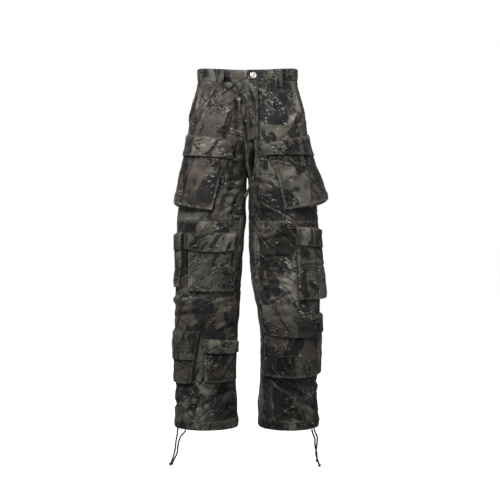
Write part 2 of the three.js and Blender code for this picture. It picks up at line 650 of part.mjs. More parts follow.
function addFly() {
  const rows = 9;
  const columns = 4;
  const [inner, outer] = [[], []];
  for (let row = 0; row <= rows; row += 1) {
    const t = row / rows;
    const z = panelTop(0) - 1 - t * FLY.length;
    const into = clamp((t - 1 + FLY.curve) / FLY.curve, 0, 1);
    const reach = lerp(FLY.inner + 5, FLY.outer, Math.sqrt(1 - into * into));
    const xs = Array.from({ length: columns + 1 }, (_, k) => lerp(FLY.inner, reach, k / columns));
    const line = xs.map((x) => betaAt(LEFT, x, z));
    inner.push(line.map((beta) => raised(LEFT, beta, z, FLY_SEAT)));
    outer.push(line.map((beta) => raised(LEFT, beta, z, FLY_SEAT + CLOTH)));
  }
  addPiece('fly_placket', wall(inner, outer), 'camo');
}

function addButton() {
  const { radius, height, rim } = BUTTON;
  const outline = [[0, 0], [radius - 1.2, 0], [radius, 1], [radius, height - 1.4], [radius - 0.8, height - 0.4],
    [radius - rim, height - 0.8], [radius * 0.45, height], [0, height]];
  const profile = outline.map(([across, up]) => new THREE.Vector2(across, up));
  const geometry = new THREE.LatheGeometry(profile, 24);
  const facing = outward(LEFT, BUTTON.beta, BUTTON.z);
  geometry.applyQuaternion(new THREE.Quaternion().setFromUnitVectors(new THREE.Vector3(0, 1, 0), facing));
  const seat = raised(LEFT, BUTTON.beta, BUTTON.z, 2 * BAND + SEAM_GAP + 0.5);
  geometry.translate(seat.x, seat.y, seat.z);
  addPiece('waist_button', geometry, 'metal');
}

function addWelt({ side, beta, z, toBeta, toZ }) {
  const rows = 6;
  const halfDegrees = WELT_WIDTH / 2 / MM_PER_DEGREE;
  const [inner, outer] = [[], []];
  for (let row = 0; row <= rows; row += 1) {
    const t = row / rows;
    const line = [-1, 0, 1].map((k) => [lerp(beta, toBeta, t) + k * halfDegrees, lerp(z, toZ, t)]);
    inner.push(line.map((spot) => raised(side, spot[0], spot[1], WELT_SEAT)));
    outer.push(line.map((spot) => raised(side, spot[0], spot[1], WELT_SEAT + TRIM)));
  }
  addPiece(`slash_pocket_welt_${SIDE_NAMES.get(side)}`, wall(inner, outer), 'flap');
}

function addHemCasing(side) {
  const columns = 28;
  const rows = 2;
  const [inner, outer] = [[], []];
  for (let row = 0; row <= rows; row += 1) {
    const z = lerp(CASING_SEAM - SEAM_GAP / 2, HEM, row / rows);
    const betas = Array.from({ length: columns }, (_, k) => -90 + k * 360 / columns);
    inner.push(betas.map((beta) => raised(side, beta, z, 0)));
    outer.push(betas.map((beta) => raised(side, beta, z, BAND)));
  }
  addPiece(`hem_casing_${SIDE_NAMES.get(side)}`, wall(inner, outer, true), 'camo');
}

function addCord({ name, diameter, steps, route }) {
  const points = route.map((point) => new THREE.Vector3(...point));
  const curve = new THREE.CatmullRomCurve3(points, false, 'centripetal');
  const section = new THREE.Shape(Array.from({ length: CORD_SIDES }, (_, k) => {
    const angle = 2 * Math.PI * k / CORD_SIDES;
    return new THREE.Vector2(Math.cos(angle), Math.sin(angle)).multiplyScalar(diameter / 2);
  }));
  addPiece(name, new THREE.ExtrudeGeometry(section, { steps, extrudePath: curve, bevelEnabled: false }), 'cord');
}

for (const side of [RIGHT, LEFT]) {
  addFrontPanels(side);
  addBackPanel(side);
  addHemCasing(side);
}
addWaistband();
LOOPS.forEach(addBeltLoop);
addFly();
addButton();
WELTS.forEach(addWelt);
for (const pocket of POCKETS) {
  addPocket(pocket);
  addFlap(pocket);
}
CORDS.forEach(addCord);

export default group;
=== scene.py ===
"""Camouflage cargo trousers: cloth, print, stitching, cords and studio.

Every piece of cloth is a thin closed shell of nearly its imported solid's form, with creases,
seams and gathers added. Sizes are in millimetres until a mesh is made.
"""

from __future__ import annotations

import logging
import math
from dataclasses import dataclass, field
from enum import Enum
from typing import Sequence

import bpy
import numpy as np
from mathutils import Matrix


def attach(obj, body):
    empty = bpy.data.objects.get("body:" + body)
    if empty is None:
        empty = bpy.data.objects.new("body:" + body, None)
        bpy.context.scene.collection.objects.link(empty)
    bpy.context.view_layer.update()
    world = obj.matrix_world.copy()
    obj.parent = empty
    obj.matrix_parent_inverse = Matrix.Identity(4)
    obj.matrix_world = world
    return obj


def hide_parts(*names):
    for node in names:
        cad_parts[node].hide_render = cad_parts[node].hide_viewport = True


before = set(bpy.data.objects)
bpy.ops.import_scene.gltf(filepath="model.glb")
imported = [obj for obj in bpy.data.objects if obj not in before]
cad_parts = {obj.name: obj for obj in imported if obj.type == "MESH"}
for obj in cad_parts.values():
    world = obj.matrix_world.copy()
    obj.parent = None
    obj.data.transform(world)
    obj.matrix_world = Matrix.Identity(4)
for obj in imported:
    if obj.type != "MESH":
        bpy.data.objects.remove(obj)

Grid = np.ndarray
Number = np.ndarray | float
Finish = bpy.types.Material
Piece = bpy.types.Object
NodeSocket = bpy.types.NodeSocket

log = logging.getLogger("trousers")
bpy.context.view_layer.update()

MM = 0.001
CLOTH = 1.5
BAND = 2.6
TRIM = 1.2
SEAM_GAP = 0.3
CENTRE_LAP = 0.12
SEAT = CLOTH + 0.65
STACK_GAP = 0.55
BAND_HEIGHT = 39.0
FRONT_DIP = 19.0
BACK_RISE = 5.0
THIGH_SEAM = -308.0
KNEE_SEAM = -443.0
CASING_SEAM = -1035.0
HEM = -1063.0
MM_PER_DEGREE = 1.65
SIDE_SEAM = 90.0
EDGE_DEGREES = SEAM_GAP / 2 / MM_PER_DEGREE
GUSSET_DEGREES = 1.8
FLAP_RISE = 0.14
GATHER_START = 47.0
FRONT_GATHERS = 5
BACK_GATHERS = 24
GATHER_HEIGHT = 2.2
UNDERLAP = 24.0
OVERLAP = 42.0
OVERLAP_EASE = 16.0
BAND_START = 1.5
BAND_EDGES = (0.09, 0.91)
ELASTIC_ROWS = (0.36, 0.63)
STITCH_PROUD = 0.18
FINE_STEP = 3.3
STEP = FINE_STEP


class Side(Enum):
    """The wearer's right or left leg, by the sign of its x."""

    RIGHT = -1
    LEFT = 1

    @property
    def word(self) -> str:
        """The side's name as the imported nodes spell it."""
        return self.name.lower()


@dataclass(frozen=True)
class Station:
    """One height of the body: how far each leg reaches out and in, and its depths."""

    z: float
    right_outer: float
    right_inner: float
    left_outer: float
    left_inner: float
    front: float
    back: float


BODY = (
    Station(45, 152, -152, 152, -152, 96, 100),
    Station(-20, 149, -149, 149, -149, 99, 104),
    Station(-60, 158, -140, 157.5, -140, 104, 112),
    Station(-120, 171, -104, 173.5, -104, 112, 126),
    Station(-180, 180.5, -66, 181.5, -66, 115, 130),
    Station(-230, 185.5, -34, 186.5, -34, 114, 126),
    Station(-270, 191.5, -12, 193.5, -12, 111, 119),
    Station(-308, 198, 1.9, 201, 1.9, 108, 113),
    Station(-350, 203, 4.5, 206, 4, 105, 108),
    Station(-430, 212, 6, 213, 5, 101, 103),
    Station(-510, 214, 13, 216, 5.5, 98, 99),
    Station(-575, 214, 17, 218, 9, 95, 96),
    Station(-620, 216, 20, 219, 14, 94, 95),
    Station(-681, 219, 25, 219, 25, 92, 93),
    Station(-758, 220, 29, 218, 38, 90, 91),
    Station(-834, 218, 35, 215, 41, 88, 89),
    Station(-895, 217, 38, 212, 41, 87, 88),
    Station(-947, 217, 37, 210, 37, 86, 87),
    Station(-1002, 219, 33, 213, 34, 86, 86),
    Station(-1063, 219, 31, 215, 36, 85, 85),
)


@dataclass(frozen=True)
class InseamPoint:
    """Degrees round from the middle of a leg's front where its inseam runs."""

    z: float
    right: float
    left: float


INSEAM = (
    InseamPoint(-308, -90, -90),
    InseamPoint(-443, -57, -54),
    InseamPoint(-575, -61, -54),
    InseamPoint(-769, -70, -57),
    InseamPoint(-910, -78, -40),
    InseamPoint(-1063, -78, -31),
)


@dataclass(frozen=True)
class Fold:
    """A soft ridge, or a trough where the height is negative, from one place to another."""

    beta: float
    z: float
    to_beta: float
    to_z: float
    width: float
    height: float
    bow: float = 0.0


R, L = Side.RIGHT, Side.LEFT

# The largest folds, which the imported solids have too
FOLDS = {R: (
    Fold(24, -50, 2, -175, 17, 6), Fold(6, -60, -14, -185, 15, -4),
    Fold(-40, -335, 2, -440, 18, -5), Fold(-58, -690, 10, -745, 20, 5),
    Fold(-36, -935, 24, -1005, 17, -5), Fold(-58, -960, 6, -1022, 15, 4),
    Fold(245, -318, 165, -352, 22, -8), Fold(155, -575, 250, -600, 21, -7),
    Fold(140, -680, 255, -650, 19, -6), Fold(130, -985, 240, -955, 19, -5),
), L: (
    Fold(52, -95, 12, -195, 17, -5), Fold(30, -70, -6, -150, 17, 5),
    Fold(-40, -340, 0, -432, 18, 5), Fold(-50, -560, 4, -600, 18, -5),
    Fold(-58, -708, 6, -690, 17, -6), Fold(-20, -935, 58, -1000, 18, -5),
    Fold(242, -322, 160, -346, 22, -8), Fold(150, -560, 245, -610, 21, -7),
    Fold(135, -700, 240, -655, 19, -6), Fold(140, -950, 250, -985, 19, -5),
)}

# Finer creases, uneven in length, depth and spacing, on all sides of both legs
CREASES = {R: (
    Fold(62, -48, 58, -148, 6, 2.6, 3), Fold(73, -50, 76, -128, 5, -2.2, -2),
    Fold(83, -46, 86, -172, 7, 2.4, 3), Fold(45, -50, 34, -118, 6, -2.4, 4),
    Fold(33, -52, 20, -96, 5, 2.0, 2), Fold(-24, -186, 14, -212, 7, 2.4, 5),
    Fold(-28, -222, 0, -262, 8, -3.0, 4), Fold(-40, -252, -10, -301, 7, 2.6, 3),
    Fold(-62, -328, -18, -352, 8, 3.0, 5), Fold(-52, -368, 2, -384, 7, -2.4, 4),
    Fold(-48, -404, -14, -428, 6, 2.2, 3), Fold(-55, -455, 30, -462, 7, 1.8, 3),
    Fold(8, -660, 60, -676, 7, -2.2, 6), Fold(44, -668, 116, -700, 8, 3.0, 6),
    Fold(-62, -668, -8, -686, 6, 2.0, 4), Fold(10, -712, 92, -742, 7, -2.8, 7),
    Fold(-60, -752, -16, -776, 6, -2.2, 4), Fold(-70, -945, -12, -968, 7, -2.8, 4),
    Fold(22, -940, 88, -962, 7, 2.6, 5), Fold(40, -975, 104, -1008, 8, -3.2, 6),
    Fold(-20, -985, 38, -1024, 7, 3.0, 4), Fold(-66, -1004, -30, -1026, 6, 2.2, 3),
    Fold(100, -60, 104, -150, 7, 2.4, 3), Fold(116, -58, 122, -196, 7, -2.6, 4),
    Fold(134, -60, 131, -142, 6, 2.4, 3), Fold(152, -60, 158, -178, 7, 2.2, 4),
    Fold(168, -66, 160, -150, 6, -2.2, 3), Fold(206, -236, 152, -272, 9, 3.4, 6),
    Fold(226, -268, 170, -304, 9, -3.4, 6), Fold(232, -342, 150, -388, 10, 3.6, 8),
    Fold(246, -398, 176, -420, 8, -2.8, 6), Fold(124, -402, 168, -442, 8, 2.6, 5),
    Fold(236, -508, 166, -528, 8, 3.0, 6), Fold(158, -548, 232, -560, 7, -3.0, 5),
    Fold(240, -622, 176, -628, 8, 3.4, 6), Fold(140, -622, 178, -644, 7, -2.6, 4),
    Fold(146, -716, 226, -742, 9, 3.0, 7), Fold(232, -780, 168, -806, 8, -2.6, 6),
    Fold(138, -812, 186, -846, 8, 2.4, 5), Fold(238, -880, 158, -902, 9, 3.0, 6),
    Fold(128, -926, 196, -944, 8, 2.8, 5), Fold(236, -1000, 164, -1018, 8, -3.2, 5),
), L: (
    Fold(60, -48, 63, -138, 6, 2.2, 3), Fold(76, -50, 79, -152, 6, -2.2, 2),
    Fold(46, -54, 34, -104, 6, -2.0, 3), Fold(58, -118, 18, -172, 7, 2.8, 5),
    Fold(70, -138, 44, -168, 6, 2.2, 3), Fold(-26, -196, 2, -232, 7, -2.4, 4),
    Fold(-34, -240, -16, -290, 6, 2.4, 3), Fold(-60, -322, -14, -342, 7, -2.6, 4),
    Fold(-46, -356, -6, -398, 7, 2.8, 4), Fold(-52, -408, 4, -428, 6, -2.0, 3),
    Fold(-50, -462, 12, -480, 7, 2.0, 4), Fold(-46, -505, 8, -488, 7, -2.2, 4),
    Fold(-42, -552, 10, -548, 6, -2.8, 3), Fold(-34, -590, -4, -602, 5, -2.4, 2),
    Fold(-24, -606, 4, -612, 5, -2.2, 2), Fold(-48, -634, 14, -652, 8, 3.0, 6),
    Fold(16, -694, 92, -686, 7, 2.6, 5), Fold(-44, -918, -18, -946, 6, 2.2, 3),
    Fold(-30, -948, -28, -1024, 6, -2.8, 2), Fold(4, -938, 36, -974, 7, -2.4, 4),
    Fold(58, -930, 104, -958, 7, 2.6, 5), Fold(8, -988, 62, -1022, 8, 3.0, 5),
    Fold(98, -58, 103, -166, 7, -2.4, 3), Fold(113, -60, 110, -140, 6, 2.6, 3),
    Fold(130, -58, 138, -188, 7, 2.2, 4), Fold(147, -62, 143, -132, 6, -2.4, 3),
    Fold(166, -60, 169, -172, 7, 2.6, 4), Fold(204, -228, 148, -262, 9, -3.2, 6),
    Fold(222, -276, 160, -300, 9, 3.4, 6), Fold(230, -352, 146, -396, 10, -3.4, 8),
    Fold(244, -388, 182, -428, 8, 3.0, 6), Fold(126, -396, 160, -446, 8, -2.4, 5),
    Fold(234, -498, 160, -536, 8, 3.2, 6), Fold(160, -556, 238, -574, 7, 3.0, 5),
    Fold(238, -636, 170, -620, 8, -3.2, 6), Fold(128, -640, 176, -668, 8, 2.8, 5),
    Fold(150, -730, 234, -716, 9, -3.0, 7), Fold(236, -792, 176, -772, 8, 2.8, 6),
    Fold(132, -830, 192, -818, 8, -2.6, 5), Fold(240, -868, 162, -908, 9, 3.0, 6),
    Fold(122, -938, 190, -962, 8, -2.8, 5), Fold(240, -1012, 158, -1004, 8, 3.0, 5),
)}

# Deep folds beside the fly, where the cloth falls back to the crotch
RISE_FOLDS = {R: (
    Fold(40, -54, 55.5, -150, 3.4, -3.0), Fold(66, -92, 52, -156, 4.5, -3.4, 3),
    Fold(-34, -206, -54, -288, 7, -5), Fold(3, -92, -24, -232, 6.5, -5, 3),
), L: (
    Fold(-27, -204, -56, -306, 9, -17), Fold(48, -54, 61.5, -150, 3.2, -2.0),
)}


@dataclass(frozen=True)
class FlapSizes:
    """Corners of a flap as degrees round the leg and z, and how far its free edge bows down."""

    top_inner: tuple[float, float]
    top_outer: tuple[float, float]
    end_inner: tuple[float, float]
    end_outer: tuple[float, float]
    bow: float


@dataclass(frozen=True)
class PocketSizes:
    """A bellows pocket: corners, and depths at its inner edge, its crease and its outer edge."""

    name: str
    side: Side
    crease: float
    bow: float
    underside: tuple[float, float]
    top_inner: tuple[float, float]
    top_outer: tuple[float, float]
    foot_inner: tuple[float, float]
    foot_outer: tuple[float, float]
    top_depth: tuple[float, float, float]
    foot_depth: tuple[float, float, float]
    flap: FlapSizes
    print_turn: float
    shade: float
    pleat: tuple[float, float] = (0.5, 0.5)
    pleat_drop: float = 0.0
    tuck: float = -1.0


POCKETS = (
    PocketSizes("hip_pocket", R, 0.46, 2, (3, 14), (-21, -232), (82, -203), (-2, -412), (99, -391),
                (4, 6, 1.5), (7, 19, 15),
                FlapSizes((-9, -210), (84, -178), (-23, -259), (86, -244), 3), 24, 1.04,
                (0.53, 0.465), 6.0),
    PocketSizes("hip_pocket", L, 0.5, 2, (3, 17), (-13, -236), (90, -203), (1, -412), (104, -383),
                (4, 6, 1.5), (8, 24, 42),
                FlapSizes((-16, -223), (91, -176), (-16, -250), (92, -243), 4), -17, 0.92,
                (0.56, 0.375), 7.0),
    PocketSizes("knee_front_pocket", R, 0.5, 2, (3, 3), (-47, -500), (36, -500), (-49, -649),
                (31, -649), (5, 5, 5), (8, 10, 8),
                FlapSizes((-53, -479), (42, -479), (-51, -525), (40, -525), 10), 8, 0.96),
    PocketSizes("knee_side_pocket", R, 0.5, 2, (3, 3), (53, -500), (128, -500), (53, -639),
                (128, -639), (4, 4, 3), (8, 4.5, 3),
                FlapSizes((50, -477), (131, -477), (51, -526), (130, -526), 5), 40, 0.92),
    PocketSizes("knee_side_pocket", L, 0.42, 2, (3, 4), (20, -486), (113, -488), (18, -676),
                (114, -669), (5, 6, 5), (9, 21, 17),
                FlapSizes((18, -461), (116, -464), (17, -514), (117, -521), 3), -28, 0.9,
                (0.32, 0.31), 4.0, 0.47),
    PocketSizes("calf_inner_pocket", R, 0.5, 2, (3, 3), (-72, -812), (-1, -808), (-72, -918),
                (-1, -919), (5, 5, 5), (7, 8, 7),
                FlapSizes((-75, -801), (4, -792), (-75, -835), (1, -831), 3), 15, 0.86),
    PocketSizes("calf_outer_pocket", R, 0.5, 1, (3, 3), (14, -795), (112, -792), (24, -924),
                (112, -927), (5, 4.5, 1.5), (8, 7, 2),
                FlapSizes((9, -770), (115, -768), (16, -853), (115, -857), 1), -34, 0.82),
    PocketSizes("calf_front_pocket", L, 0.5, 6, (3, 4), (-55, -744), (86, -740), (-56, -903),
                (86, -898), (5, 6, 5), (8, 12, 9),
                FlapSizes((-58, -725), (89, -719), (-60, -772), (90, -766), 18), 30, 0.86),
)


def smooth(t: Number) -> Grid:
    """The usual soft step from 0 at 0 to 1 at 1."""
    t = np.clip(t, 0.0, 1.0)
    return t * t * (3 - 2 * t)


def lerp(a: Number, b: Number, t: Number) -> Grid:
    """The value a share t of the way from a to b."""
    return a + (b - a) * t


def bell(away: Number, width: float) -> Number:
    """A soft bump, 1 at 0 and fading over a width."""
    return np.exp(-((away / width) ** 2))


def unit(vectors: Grid) -> Grid:
    """Vectors scaled to length one."""
    return vectors / np.maximum(np.linalg.norm(vectors, axis=-1, keepdims=True), 1e-9)


class Column:
    """A smooth value down a table whose rows run downwards."""

    def __init__(self, heights: Sequence[float], values: Sequence[float]) -> None:
        """Keep the table and its slopes.

        Args:
            heights: the rows' z, falling.
            values: the value at each row.
        """
        self.heights = np.array(heights, float)
        self.values = np.array(values, float)
        last = len(heights) - 1
        rows = np.arange(last + 1)
        low, high = np.maximum(rows - 1, 0), np.minimum(rows + 1, last)
        self.slopes = (self.values[high] - self.values[low]) / (self.heights[high] - self.heights[low])

    def at(self, z: Number) -> Grid:
        """The value at heights z.

        Args:
            z: heights in millimetres.

        Returns:
            The values, in the shape of z.
        """
        last = len(self.heights) - 1
        level = np.clip(z, self.heights[-1], self.heights[0])
        row = np.searchsorted(-self.heights[1:last], -level, side="left")
        span = self.heights[row + 1] - self.heights[row]
        t = (level - self.heights[row]) / span
        bend = span * t * (1 - t) * ((1 - t) * self.slopes[row] - t * self.slopes[row + 1])
        return lerp(self.values[row], self.values[row + 1], smooth(t)) + bend


class Ripple:
    """Seeded smooth noise in space, from about -0.7 to 0.7."""

    def __init__(self, seed: int) -> None:
        """Draw the lattice.

        Args:
            seed: fixes the noise.
        """
        rng = np.random.default_rng(seed)
        self.order = rng.permutation(256)
        self.slopes = unit(rng.normal(size=(256, 3)))

    def at(self, points: Grid, size: tuple[float, float, float]) -> Grid:
        """Noise at points.

        Args:
            points: places in millimetres, the last axis x, y, z.
            size: how far apart the lattice stands along each axis.

        Returns:
            One value a point.
        """
        place = points / np.array(size)
        cell = np.floor(place).astype(int)
        inside = place - cell
        fade = inside**3 * (inside * (inside * 6 - 15) + 10)
        total = np.zeros(points.shape[:-1])
        for corner in range(8):
            step = np.array([corner & 1, corner >> 1 & 1, corner >> 2 & 1])
            at = (cell + step) & 255
            pick = self.order[(self.order[(self.order[at[..., 0]] + at[..., 1]) & 255] + at[..., 2]) & 255]
            weight = np.prod(np.where(step == 1, fade, 1 - fade), axis=-1)
            total += weight * np.sum(self.slopes[pick] * (inside - step), axis=-1)
        return total


def waist_line(beta: Number) -> Grid:
    """Height of the waistband's middle line round the waist."""
    facing = np.cos(np.radians(beta))
    return np.where(facing > 0, -FRONT_DIP, BACK_RISE) * facing**2


def panel_top(beta: Number) -> Grid:
    """Height of the seam between the panels and the waistband."""
    return waist_line(beta) - BAND_HEIGHT / 2 - SEAM_GAP


def depth_of(pocket: PocketSizes, u: Grid, v: Grid) -> Grid:
    """How far a pocket's face stands off its seat at a share across and down it."""

    def across(depths: tuple[float, float, float]) -> Grid:
        inner = lerp(depths[0], depths[1], smooth(u / pocket.crease))
        outer = lerp(depths[1], depths[2], smooth((u - pocket.crease) / (1 - pocket.crease)))
        return np.where(u < pocket.crease, inner, outer)

    return lerp(across(pocket.top_depth), across(pocket.foot_depth), np.clip(v, 0, 1) ** 1.35)


def between(corners: Sequence[tuple[float, float]], u: Grid, v: Grid) -> tuple[Grid, Grid]:
    """Degrees and z at a share across and down between four corners."""
    return tuple(lerp(lerp(a, b, u), lerp(c, d, u), v) for a, b, c, d in zip(*corners))


def place_on(pocket: PocketSizes, beta: Grid, z: Grid) -> tuple[Grid, Grid]:
    """Where places on the leg fall across (u) and down (v) a pocket, 0 to 1 inside it."""
    u = np.full(np.shape(beta), 0.5)
    v = u
    for _ in range(5):
        top = lerp(pocket.top_inner[1], pocket.top_outer[1], u)
        foot = lerp(pocket.foot_inner[1], pocket.foot_outer[1], u)
        v = (top - z) / (top - foot)
        inner = lerp(pocket.top_inner[0], pocket.foot_inner[0], v)
        outer = lerp(pocket.top_outer[0], pocket.foot_outer[0], v)
        u = (beta - inner) / (outer - inner)
    return u, v


class Leg:
    """The form of one leg: ovals down its height, folds, creases and seams."""

    FINE_CREASES = 46

    def __init__(self, side: Side) -> None:
        """Keep the leg's tables.

        Args:
            side: which leg.
        """
        self.side = side
        heights = [s.z for s in BODY]
        self.outer = Column(heights, [getattr(s, f"{side.word}_outer") for s in BODY])
        self.inner = Column(heights, [getattr(s, f"{side.word}_inner") for s in BODY])
        self.front = Column(heights, [s.front for s in BODY])
        self.back = Column(heights, [s.back for s in BODY])
        self.inseam = Column([p.z for p in INSEAM], [getattr(p, side.word) for p in INSEAM])
        self.ripple = Ripple(11 if side is R else 23)
        self.pockets = [p for p in POCKETS if p.side is side]
        self.folds = FOLDS[side]
        self.creases = [*CREASES[side], *self.fine_creases()]

    def fine_creases(self) -> list[Fold]:
        """Short shallow wrinkles strewn over the leg by a fixed seed."""
        rng = np.random.default_rng(5 + self.side.value)
        found = []
        for _ in range(self.FINE_CREASES):
            beta, z = rng.uniform(-70, 250), rng.uniform(-1015, -120)
            turn, reach = rng.normal(0.35, 0.45), rng.uniform(22, 62)
            found.append(Fold(beta, z, beta + reach * math.cos(turn) / MM_PER_DEGREE,
                              z - reach * math.sin(turn), rng.uniform(3.2, 5.5),
                              rng.choice([-1, 1]) * rng.uniform(0.7, 1.6), rng.uniform(-5, 5)))
        return found

    def middle(self, z: Number) -> Grid:
        """How far the leg's own middle stands from the middle plane."""
        return (self.outer.at(z) + self.inner.at(z)) / 2

    def half_width(self, z: Number) -> Grid:
        """Half the leg's width."""
        return (self.outer.at(z) - self.inner.at(z)) / 2

    def beta_at(self, x: Number, z: Number) -> Grid:
        """Degrees round the front of the leg at a distance from the middle plane."""
        return np.degrees(np.arcsin(np.clip((x - self.middle(z)) / self.half_width(z), -1, 1)))

    def plain(self, beta: Grid, z: Grid) -> Grid:
        """Points of the oval itself, without folds."""
        beta, z = np.broadcast_arrays(np.asarray(beta, float), np.asarray(z, float))
        angle = np.radians(beta)
        depth = np.where(np.cos(angle) > 0, self.front.at(z), self.back.at(z))
        x = self.side.value * (self.middle(z) + self.half_width(z) * np.sin(angle))
        return np.stack([x, -depth * np.cos(angle), z], axis=-1)

    def outward(self, beta: Grid, z: Grid) -> Grid:
        """Unit normals of the oval, away from the leg."""
        turned = self.plain(beta + 0.5, z) - self.plain(beta - 0.5, z)
        up = self.plain(beta, z + 1) - self.plain(beta, z - 1)
        return unit(np.cross(turned, up) * self.side.value)

    def off(self, beta: Grid, z: Grid, height: Grid) -> Grid:
        """Points that stand off the oval by a height."""
        return self.plain(beta, z) + self.outward(beta, z) * height[..., None]

    def centre_beta(self, z: Grid, is_back: bool) -> Grid:
        """Degrees round the leg where its cloth meets its neighbour at the middle plane."""
        x = np.full(np.shape(z), -CENTRE_LAP)
        beta = np.zeros(np.shape(z))
        for _ in range(4):
            beta = self.beta_at(x, z)
            beta = 180 - beta if is_back else beta
            x = CLOTH * np.maximum(0, -self.outward(beta, z)[..., 0] * self.side.value) - CENTRE_LAP
        return beta

    def open_cloth(self, beta: Grid, z: Grid) -> Grid:
        """1 on open cloth and 0 under a pocket, where the cloth lies smooth."""
        turned = np.where(beta > 200, beta - 360, beta)
        opened = np.ones(np.shape(turned))
        for pocket in self.pockets:
            u, v = place_on(pocket, turned, z)
            across = np.maximum(np.abs(u - 0.5) - 0.56, 0) / 0.12
            down = np.maximum(np.abs(v - 0.4) - 0.66, 0) / 0.12
            opened = opened * smooth(np.hypot(across, down))
        return opened

    def dimmed(self, beta: Grid, z: Grid) -> Grid:
        """Painted shadow: how much of its colour the cloth keeps beside and below pockets, at the crotch and
        inside the thighs.
        """
        turned = np.where(beta > 200, beta - 360, beta)
        light = np.ones(np.shape(turned))
        # Painted contact shadow beside and below each pocket
        for pocket in self.pockets:
            u, v = place_on(pocket, turned, z)
            wide = (pocket.top_outer[0] - pocket.top_inner[0]) * MM_PER_DEGREE
            tall = pocket.top_inner[1] - pocket.foot_inner[1]
            aside = np.maximum(np.abs(u - 0.5) - 0.5, 0) * wide
            below = np.maximum(v - 1, 0) * tall * 0.6 + np.maximum(-v, 0) * tall
            light = light * (1 - 0.62 * bell(np.hypot(aside, below), 6))
        x = np.abs(self.plain(beta, z)[..., 0])
        middle = np.cos(np.radians(beta)) > 0
        # Painted shade in the crotch recess and painted shadow inside the thighs, strongest on the left leg
        recess = smooth((15 - np.abs(x - 15)) / 8) * smooth((-z - 222) / 22) * smooth((z + 330) / 20) * middle
        thigh = smooth((24 - x) / 14) * smooth((-z - 312) / 20) * smooth((z + 620) / 120)
        inner = smooth((50 - x) / 28) * smooth((-z - 330) / 40) * smooth((z + 800) / 180)
        strength = (0.92, 0.7, 0.4) if self.side is L else (0.2, 0.45, 0.0)
        return light * (1 - strength[0] * recess) * (1 - strength[1] * thigh) * (1 - strength[2] * inner)

    @staticmethod
    def ridge(fold: Fold, beta: Grid, z: Grid, tapers: bool) -> Grid:
        """Height of one fold at places on the leg.

        Args:
            fold: the ridge or trough.
            beta: degrees round the leg.
            z: heights.
            tapers: whether it thins out towards its ends and bows sideways.

        Returns:
            Its height in millimetres.
        """
        along = np.array([(fold.to_beta - fold.beta) * MM_PER_DEGREE, fold.to_z - fold.z])
        reach = float(np.hypot(*along))
        way = along / reach
        right, up = (beta - fold.beta) * MM_PER_DEGREE, z - fold.z
        t = np.clip((right * way[0] + up * way[1]) / reach, 0, 1)
        if not tapers:
            away = np.hypot(right - along[0] * t, up - along[1] * t) / fold.width
            return fold.height * np.exp(-away * away)
        aside = right * -way[1] + up * way[0] - fold.bow * 4 * t * (1 - t)
        beyond = np.hypot(right - along[0] * t, up - along[1] * t)
        past = np.sqrt(np.maximum(beyond**2 - (right * -way[1] + up * way[0]) ** 2, 0))
        taper = np.sqrt(np.clip(4 * t * (1 - t), 0, 1)) * bell(past, fold.width)
        near = aside / fold.width
        body = bell(near, 1) - 0.45 * bell(near - 1.7, 1) - 0.25 * bell(near + 1.8, 1)
        return fold.height * taper * body

    def fold_height(self, beta: Grid, z: Grid) -> Grid:
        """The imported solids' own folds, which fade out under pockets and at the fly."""
        turned = np.where(beta < -90, beta + 360, beta)
        height = sum(self.ridge(fold, turned, z, False) for fold in self.folds)
        near = np.abs(self.plain(beta, z)[..., 0])
        centre = smooth((near - Fly.outer - 4) / 24)
        height = height * smooth((panel_top(beta) - z + 4) / 34)
        return height * self.open_cloth(turned, z) * np.where(z > THIGH_SEAM, centre, 1)

    def relief(self, beta: Grid, z: Grid) -> Grid:
        """Creases, crumples and seam puckers of the open cloth, in millimetres."""
        turned = np.where(beta < -90, beta + 360, beta)
        place = self.plain(beta, z)
        creased = sum(self.ridge(fold, turned, z, True) for fold in self.creases)
        broad = self.ripple.at(place, (74, 66, 46)) * 3.6
        sharp = 1 - 2.6 * np.abs(self.ripple.at(place + 517, (44, 44, 27)))
        fine = self.ripple.at(place - 311, (19, 19, 12)) * 0.9
        calm = 0.1 + 0.9 * self.open_cloth(turned, z)
        centre = smooth((np.abs(place[..., 0]) - 0.6) / 20)
        quiet = lerp(centre, 1, smooth((-z - 325) / 40))
        fade = smooth((panel_top(beta) - z) / 30)
        crumple = (creased * 1.7 + broad + np.clip(sharp, -0.2, 1) * 1.6 + fine) * calm * fade
        rise = sum(self.ridge(fold, beta, z, True) for fold in RISE_FOLDS[self.side])
        crumple = crumple - 0.8 * calm * fade + self.seam_relief(turned, z, place)
        from_middle = np.abs(place[..., 0])
        gathered = self.gather_relief(turned, z) * smooth((from_middle - 0.6) / 14)
        return crumple * quiet + rise * smooth((from_middle - 3) / 9) + gathered

    def seam_relief(self, beta: Grid, z: Grid, place: Grid) -> Grid:
        """Grooves along the seams, with the puckers that sewing draws up beside them."""
        inseam = self.inseam.at(z)
        turned = np.where(beta > 180, beta - 360, beta)
        below = z < THIGH_SEAM
        is_front = (turned < SIDE_SEAM) & (turned > np.where(below, inseam, -90))
        ways = [(np.abs(turned - SIDE_SEAM) * MM_PER_DEGREE, z, 1.0),
                (np.where(below, np.abs(turned - inseam) * MM_PER_DEGREE, 99), z, 1.0)]
        for seam in (THIGH_SEAM, KNEE_SEAM):
            ways.append((np.where(is_front, np.abs(z - seam), 99), turned * MM_PER_DEGREE, 1.0))
        ways.append((np.where(z > THIGH_SEAM, np.abs(place[..., 0]), 99), z, 0.5))
        total = np.zeros(np.shape(place)[:-1])
        for away, along, strength in ways:
            drift = self.ripple.at(np.stack([along, along * 0 + 40, along * 0], axis=-1), (60, 60, 60)) * 9
            pucker = 0.7 * np.sin(2 * np.pi * along / 12.5 + drift) * np.exp(-away / 8)
            total += strength * (pucker * smooth(away / 2) - 1.5 * bell(away, 2.4))
        return total

